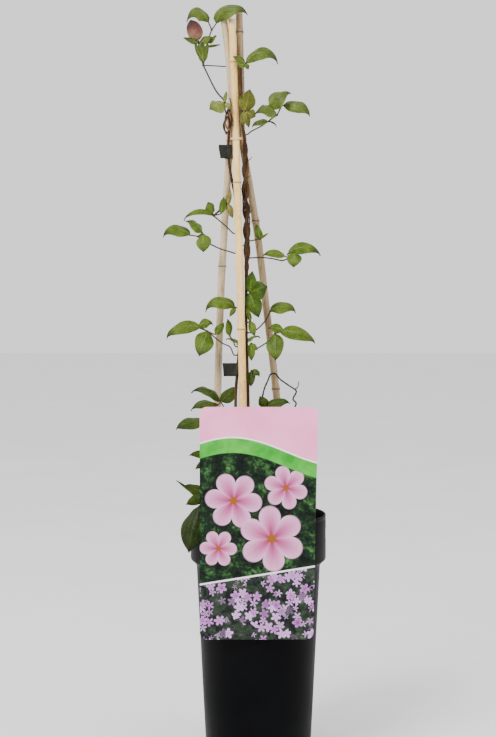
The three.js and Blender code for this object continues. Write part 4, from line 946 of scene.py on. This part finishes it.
STEM_ROUTES = {"left": left_route, "right": right_route}
for number, (name, tone, stem, height, heading, via, hub, leaflets) in enumerate(LEAVES):
    leaf_bm = bmesh.new()
    pick = random.Random(101 + number)
    tones = [tone]
    for start, tip, face, half_width, arch, *own in leaflets:
        before = len(leaf_bm.faces)
        grow_leaflet(leaf_bm, start or hub, tip, face, half_width, arch, pick.uniform(0, 6.28))
        tones += [mark for mark in own if mark not in tones]
        colour_since(leaf_bm, before, tones.index(own[0]) if own else 0)
    blade_faces = len(leaf_bm.faces)
    stem_point = at_height(STEM_ROUTES[stem], height)
    out = Vector((math.cos(math.radians(heading)), math.sin(math.radians(heading)), 0))
    way = [stem_point + out * 0.9, stem_point + out * (BINE_RADIUS + 2.85), *map(Vector, via), Vector(hub)]
    stalk = smooth_route(way, 5)
    grow_rod(leaf_bm, stalk, [PETIOLE_RADIUS * (1.5 - min(i / 3, 0.5)) for i in range(len(stalk))], sides=7)
    bmesh.ops.create_icosphere(leaf_bm, subdivisions=2, radius=HUB_RADIUS, matrix=Matrix.Translation(hub))
    for start, tip, *_ in leaflets:
        if start:
            stalklet = smooth_route([hub, Vector(start), Vector(start).lerp(Vector(tip), 0.06)], 4)
            grow_rod(leaf_bm, stalklet, [STALKLET_RADIUS] * len(stalklet), sides=6)
    colour_since(leaf_bm, blade_faces, len(tones))
    keep_piece(leaf_bm, name.replace("leaf_", "foliage_"), [name],
               [*(BLADES[mark] for mark in tones), leaf_stalk])

# ---------------- top shoot
# The youngest shoot leaves the left stem and forks. One branch carries the bud, the other the top pair of
# leaflets, and a level tendril ties the fork back to the left cane.

FORK = (-53, -1, 661)
TOP_HUB = (-45, 1, 695.3)
BUD_BASE = (-57.6, -2, 684.8)
SHOOT_RODS = [
    ([(-30.3, -6, 623), (-34, -6.5, 628), (-40, -5, 635), FORK], 0.85, 0.8),
    ([FORK, (-55.8, -1, 672), (-57.3, -1.8, 681), BUD_BASE], 0.8, 0.75),
    ([FORK, (-50.5, 0, 672), (-49, 1, 683), TOP_HUB], 0.75, 0.7),
    ([TOP_HUB, (-46.6, 0.6, 699.5), (-48.4, -0.1, 703.3)], 0.7, 0.6),
    ([TOP_HUB, (-42.4, 0.6, 698.8), (-40.1, -0.1, 702.3)], 0.7, 0.6),
    ([FORK, (-42, -0.5, 660.5), (-34, -0.5, 660), (-32.6, 2.2, 660.2), (-32.2, 6.6, 661), (-28, 9.4, 662),
      (-23.6, 7.5, 663)], 0.62, 0.5),
]
# The leaflets: start, tip, face, half width, arch.
SHOOT_LEAFLETS = [
    ((-48, 0, 702.3), (-69, -6, 701.5), UP, 8.5, 0.58),
    ((-40.5, 0, 701.3), (-9.7, -10, 707.5), UP, 9.5, 0.4),
    ((-57.3, -1.8, 682.6), (-71.5, -10, 686), UP, 3.8, 0.05),
    ((-57.3, -1.7, 681.6), (-44.5, -6.5, 687.5), UP, 4.6, 0.1),
    ((-49, 0.8, 683.5), (-39.8, -4, 689), (-0.3, -0.8, 0.6), 5, 0.15),
    ((-49.3, 0.6, 679), (-36.5, 2, 681.2), UP, 1.8, 0.06),
    ((-53, -1.2, 664), (-54, -5, 682.5), FRONT, 5.4, 0.06),
    ((-54.2, -1.4, 667), (-61.5, -4.5, 682.5), FRONT, 2.9, 0.06),
    ((-52.6, -1.2, 667), (-48, -3.5, 683), FRONT, 2.9, 0.06),
]

shoot_skin = mottled("slate_shoot", 0.5, 60, [
    (0.35, (0.02, 0.023, 0.02)), (0.5, (0.034, 0.034, 0.022)), (0.65, (0.06, 0.048, 0.022))],
    bumps=(2500, 0.00012), specular=0.2)
shoot_bm = bmesh.new()
pick = random.Random(31)
for start, tip, face, half_width, arch in SHOOT_LEAFLETS:
    grow_leaflet(shoot_bm, start, tip, face, half_width, arch, pick.uniform(0, 6.28))
blade_faces = len(shoot_bm.faces)
for points, thick, thin in SHOOT_RODS:
    route = smooth_route(points, 7)
    grow_rod(shoot_bm, route, taper(route, thick, thin), sides=8)
for joint, radius in ((FORK, 1.25), (TOP_HUB, 1.2)):
    bmesh.ops.create_icosphere(shoot_bm, subdivisions=2, radius=radius, matrix=Matrix.Translation(joint))
colour_since(shoot_bm, blade_faces, 1)
keep_piece(shoot_bm, "young_shoot", ["top_shoot"], [BLADES["top"], shoot_skin])

# ---------------- flower bud
# A closed flower bud of four dusky pink sepals, pressed edge to edge. Each has a raised middle nerve, and
# fine down on its back.

BUD_PROFILE = [(0, 0), (1.3, 0.1), (2.4, 0.5), (4.3, 1.7), (5.9, 3.5), (6.9, 5.6), (7.3, 7.8), (7.3, 10.3),
               (6.9, 12.9), (6.0, 15.3), (4.7, 17.3), (3.2, 18.8), (1.6, 19.9), (0.5, 20.6), (0, 20.8)]
BUD_HEIGHT = 20.8
BUD_SIDES = 64
BUD_SEPALS = 4
# How far the bud leans, in degrees: sideways and to the front.
BUD_LEAN = (-22, 6)

bud_bm = bmesh.new()
turned(bud_bm, BUD_PROFILE, BUD_SIDES)
bud_uv = bud_bm.loops.layers.uv.verify()
for corner in (loop for f in bud_bm.faces for loop in f.loops):
    spot = corner.vert.co
    corner[bud_uv].uv = (math.atan2(spot.y, spot.x) / (2 * math.pi) + 0.5, spot.z / BUD_HEIGHT)
for vert in bud_bm.verts:
    turn = math.atan2(vert.co.y, vert.co.x) + 0.25 * vert.co.z / BUD_HEIGHT
    seam = abs(math.sin(BUD_SEPALS * turn / 2))
    ridge = 0.1 * math.cos(BUD_SEPALS * turn) + 0.045 * math.cos(3 * BUD_SEPALS * turn)
    vert.co.xy *= 0.965 + ridge - 0.12 * (1 - seam) ** 4
tilt = Matrix.Rotation(math.radians(BUD_LEAN[0]), 4, "Y") @ Matrix.Rotation(math.radians(BUD_LEAN[1]), 4, "X")
where = Matrix.Translation((BUD_BASE[0], BUD_BASE[1], BUD_BASE[2] + 0.2))
bmesh.ops.transform(bud_bm, matrix=where @ tilt, verts=bud_bm.verts)
bmesh.ops.recalc_face_normals(bud_bm, faces=bud_bm.faces)

bud_sepal, tree, shader = new_material("bud_sepal", 0.68, specular=0.2, sheen_weight=0.08,
                                       sheen_roughness=0.5)
parts = node(tree, "SeparateXYZ", {0: node(tree, "TexCoord").outputs["UV"]})
wave = {"Vector": node(tree, "TexCoord").outputs["UV"], "Scale": 9.0, "Distortion": 1.4}
stripes = node(tree, "TexWave", wave, bands_direction="X").outputs["Fac"]
blotch = grain(tree, own_place(tree), 130, detail=4)
tone = sum_of(tree, (parts.outputs[1], 0.62), (blotch, 0.55), (stripes, -0.1))
tree.links.new(colour_ramp(tree, tone, [
    (0.22, (0.12, 0.11, 0.03)), (0.34, (0.27, 0.14, 0.085)), (0.52, (0.14, 0.042, 0.032)),
    (0.68, (0.06, 0.018, 0.013)), (0.85, (0.025, 0.012, 0.009))]), shader.inputs["Base Color"])
relief(tree, shader, sum_of(tree, (stripes, 0.5), (grain(tree, own_place(tree), 1600), 0.6)), 0.0004)
keep_piece(bud_bm, "closed_bud", ["flower_bud"], [bud_sepal])

# ---------------- dry twig
# A dead grey side stem comes up behind the label, crosses the right cane and ends in a crook with a short
# spur.

TWIG = [(6, -9, 196), (4, -9, 280), (2.6, -10, 330), (5.4, -9, 349), (9.3, -3, 358), (12.2, 4, 363.5),
        (16.5, 7, 363.5), (21, 6, 358.5), (30.6, 0, 352), (36.5, -3, 347.5), (33.4, -4, 340), (36.3, -5, 336),
        (33.6, -6, 330)]
TWIG_SPUR = [(34.4, -2, 349.1), (37.5, -3, 351), (39, -4, 357)]
TWIG_RADIUS = 0.85
SPUR_RADII = (0.65, 0.4)

dead_bark = mottled("dead_bark", 0.85, 320, [
    (0.32, (0.006, 0.008, 0.008)), (0.5, (0.017, 0.021, 0.02)), (0.68, (0.045, 0.046, 0.038))],
    bumps=(1400, 0.0003), specular=0.2, detail=5, bump_detail=5)
twig_bm = bmesh.new()
twig_route = smooth_route(TWIG, 8)
pick = random.Random(12)
grow_rod(twig_bm, twig_route, [TWIG_RADIUS * pick.uniform(0.85, 1.1) for _ in twig_route], sides=8)
spur_route = smooth_route(TWIG_SPUR, 5)
grow_rod(twig_bm, spur_route, taper(spur_route, *SPUR_RADII), sides=7)
keep_piece(twig_bm, "dead_twig", ["dry_twig"], [dead_bark])

# ---------------- plant label
# A printed plastic card leans in front of the collar. Its tongue is folded back over the rim and stands
# in the mix. The print is a plain garden design in pink, green and lilac, with no words.

LABEL_LEFT = -53.7
LABEL_RIGHT_TOP = 54.8
LABEL_RIGHT_BOTTOM = 50.4
LABEL_BOTTOM = 124
LABEL_TOP = 338
LABEL_CORNER = 6.5
LABEL_SHEET = 0.8
# The card's back touches the collar at this height, and leans about that line.
LABEL_LEAN = 1.3
LABEL_BACK = -65.35
LABEL_PIVOT = 187
TONGUE_WIDTH = 26
TONGUE_SIDE = [(-66.8, 231.6), (-60.2, 231.6), (-57.93, 193), (-59.13, 193), (-61.4, 230.4), (-66.8, 230.4)]
# The print is laid out in tenths of a metre from the card's lower left corner. Each blossom: middle across,
# middle upward, reach and turn.
PRINT_UNIT = 100
BLOSSOMS = [(0.31, 1.28, 0.26, 0.3), (0.79, 1.4, 0.2, 0.9), (0.66, 0.93, 0.3, 1.3), (0.17, 0.84, 0.17, 0.1)]
LOBES = 6
FLORETS = 13.0
WHITE_INK = (0.93, 0.93, 0.93)
EYE_INK = (0.26, 0.08, 0.015)
PETAL_INKS = [(0.1, (0.3, 0.03, 0.12)), (0.4, (0.5, 0.13, 0.3)), (0.8, (0.68, 0.33, 0.54))]
FLORET_INKS = [(0.15, (0.22, 0.05, 0.2)), (0.45, (0.42, 0.16, 0.46)), (0.8, (0.6, 0.34, 0.66))]
FIELD_INKS = [(0.4, (0.003, 0.005, 0.004)), (0.52, (0.008, 0.02, 0.009)), (0.6, (0.03, 0.085, 0.024)),
              (0.7, (0.1, 0.22, 0.06))]
LEAF_INKS = [(0.42, (0.006, 0.009, 0.008)), (0.58, (0.03, 0.045, 0.028)), (0.7, (0.09, 0.12, 0.07))]
MEADOW_INKS = [(0.35, (0.02, 0.26, 0.02)), (0.65, (0.09, 0.44, 0.05))]
HEAD_INKS = [(0.35, (0.92, 0.27, 0.51)), (0.65, (0.97, 0.34, 0.58))]

label_bm = bmesh.new()
corners = [(LABEL_LEFT, LABEL_BOTTOM), (LABEL_RIGHT_BOTTOM, LABEL_BOTTOM), (LABEL_RIGHT_TOP, LABEL_TOP),
           (LABEL_LEFT, LABEL_TOP)]
card = label_bm.faces.new([label_bm.verts.new((x, 0, z)) for x, z in corners])
bmesh.ops.bevel(label_bm, geom=list(card.verts), offset=LABEL_CORNER, segments=8, profile=0.5,
                affect="VERTICES", material=-1)
print_uv = label_bm.loops.layers.uv.verify()
for corner in (loop for f in label_bm.faces for loop in f.loops):
    spot = corner.vert.co
    corner[print_uv].uv = ((spot.x - LABEL_LEFT) / PRINT_UNIT, (spot.z - LABEL_BOTTOM) / PRINT_UNIT)
thick = bmesh.ops.extrude_face_region(label_bm, geom=label_bm.faces[:])["geom"]
bmesh.ops.translate(label_bm, verts=[v for v in thick if isinstance(v, bmesh.types.BMVert)],
                    vec=(0, -LABEL_SHEET, 0))
lean = Matrix.Translation((0, LABEL_BACK, LABEL_PIVOT)) @ Matrix.Rotation(math.radians(LABEL_LEAN), 4, "X") \
    @ Matrix.Translation((0, 0, -LABEL_PIVOT))
bmesh.ops.transform(label_bm, matrix=lean, verts=label_bm.verts)
side = label_bm.faces.new([label_bm.verts.new((-TONGUE_WIDTH / 2, y, z)) for y, z in TONGUE_SIDE])
across = bmesh.ops.extrude_face_region(label_bm, geom=[side])["geom"]
bmesh.ops.translate(label_bm, verts=[v for v in across if isinstance(v, bmesh.types.BMVert)],
                    vec=(TONGUE_WIDTH, 0, 0))
bmesh.ops.recalc_face_normals(label_bm, faces=label_bm.faces)
label_bm.normal_update()
for face in label_bm.faces:
    front = face.normal.y < -0.9 and face.calc_area() > 5000
    face.material_index = 0 if front else 1

print_film, tree, shader = new_material("printed_card", 0.33, specular=0.09)
sheet = node(tree, "SeparateXYZ", {0: node(tree, "TexCoord").outputs["UV"]})
across, upward = sheet.outputs[0], sheet.outputs[1]
flat = node(tree, "CombineXYZ", {0: across, 1: upward}).outputs[0]
reckon, lay = partial(calc, tree), partial(painted, tree)


def past(value, middle, width):
    """Goes from 0 to 1 as value passes middle."""
    return ranged(tree, value, middle - width, middle + width)


def short_of(value, middle, width):
    """Goes from 1 to 0 as value passes middle."""
    return ranged(tree, value, middle - width, middle + width, 1.0, 0.0)


def blossom(ink, x, y, reach, turn):
    """A round, lobed blossom with a paler margin and an amber eye, printed over the ink below it."""
    dx, dy = reckon("SUBTRACT", across, x), reckon("SUBTRACT", upward, y)
    far = reckon("SQRT", reckon("MULTIPLY_ADD", dx, dx, reckon("MULTIPLY", dy, dy)))
    angle = reckon("ARCTAN2", dy, dx)
    petal = reckon("ABSOLUTE", reckon("COSINE", reckon("MULTIPLY_ADD", angle, LOBES / 2, turn)))
    edge = reckon("MULTIPLY_ADD", reckon("POWER", petal, 0.55), 0.42 * reach, 0.58 * reach)
    share = reckon("DIVIDE", far, edge)
    round_and_out = node(tree, "CombineXYZ", {0: reckon("MULTIPLY", angle, 9.0), 1: share}).outputs[0]
    streak = grain(tree, round_and_out, 1.4)
    petals = colour_ramp(tree, sum_of(tree, (share, 0.8), (streak, 0.35), (petal, -0.2)), PETAL_INKS)
    return lay(lay(ink, petals, short_of(share, 1.0, 0.03)), EYE_INK, short_of(share, 0.17, 0.03))


# The middle: blossoms on a dark, leafy field.
foliage = sum_of(tree, (grain(tree, flat, 9, detail=5), 0.65), (grain(tree, flat, 34, detail=3), 0.35))
ink = colour_ramp(tree, foliage, FIELD_INKS)
for place_and_size in BLOSSOMS:
    ink = blossom(ink, *place_and_size)
# The lower band: heads of small lilac florets of five petals, scattered over dark leaves.
cells = node(tree, "TexVoronoi", {"Vector": flat, "Scale": FLORETS, "Randomness": 0.9})
centre = cells.outputs["Position"]
offset = node(tree, "VectorMath", {0: flat, 1: centre}, operation="SUBTRACT").outputs[0]
reach = node(tree, "SeparateXYZ", {0: offset})
chance = node(tree, "SeparateXYZ", {0: cells.outputs["Color"]})
turned_by = reckon("MULTIPLY", chance.outputs[0], 6.28)
turn = reckon("MULTIPLY_ADD", reckon("ARCTAN2", reach.outputs[1], reach.outputs[0]), 2.5, turned_by)
petal_end = reckon("MULTIPLY_ADD", reckon("ABSOLUTE", reckon("COSINE", turn)), 0.34, 0.3)
share = reckon("DIVIDE", cells.outputs["Distance"], petal_end)
in_head = past(grain(tree, centre, 5, detail=1), 0.44, 0.02)
floret = reckon("MULTIPLY", short_of(share, 1.0, 0.12), in_head)
petals = colour_ramp(tree, sum_of(tree, (share, 0.5), (chance.outputs[1], 0.5)), FLORET_INKS)
lilac = lay(colour_ramp(tree, foliage, LEAF_INKS), petals, floret)
low = reckon("SUBTRACT", upward, reckon("MULTIPLY_ADD", across, 0.16, 0.5))
ink = lay(lay(ink, WHITE_INK, short_of(low, 0.014, 0.004)), lilac, short_of(low, 0.0, 0.004))
# The head: a green hill, a white line and the plain pink above it.
swell = reckon("COSINE", reckon("MULTIPLY", reckon("SUBTRACT", across, 0.3), 3.2))
above = reckon("SUBTRACT", upward, reckon("MULTIPLY_ADD", swell, 0.13, 1.61))
ink = lay(ink, colour_ramp(tree, grain(tree, flat, 5), MEADOW_INKS), past(above, -0.02, 0.004))
ink = lay(ink, WHITE_INK, past(above, 0.115, 0.004))
ink = lay(ink, colour_ramp(tree, grain(tree, flat, 3), HEAD_INKS), past(above, 0.127, 0.004))
tree.links.new(ink, shader.inputs["Base Color"])
relief(tree, shader, grain(tree, own_place(tree), 900), 0.00004)
bare_card = mottled("bare_card", 0.4, 60, [(0.35, (0.8, 0.8, 0.79)), (0.65, (0.86, 0.86, 0.855))],
                    bumps=(1200, 0.00003))
keep_piece(label_bm, "picture_card", ["plant_label"], [print_film, bare_card], smooth=False)
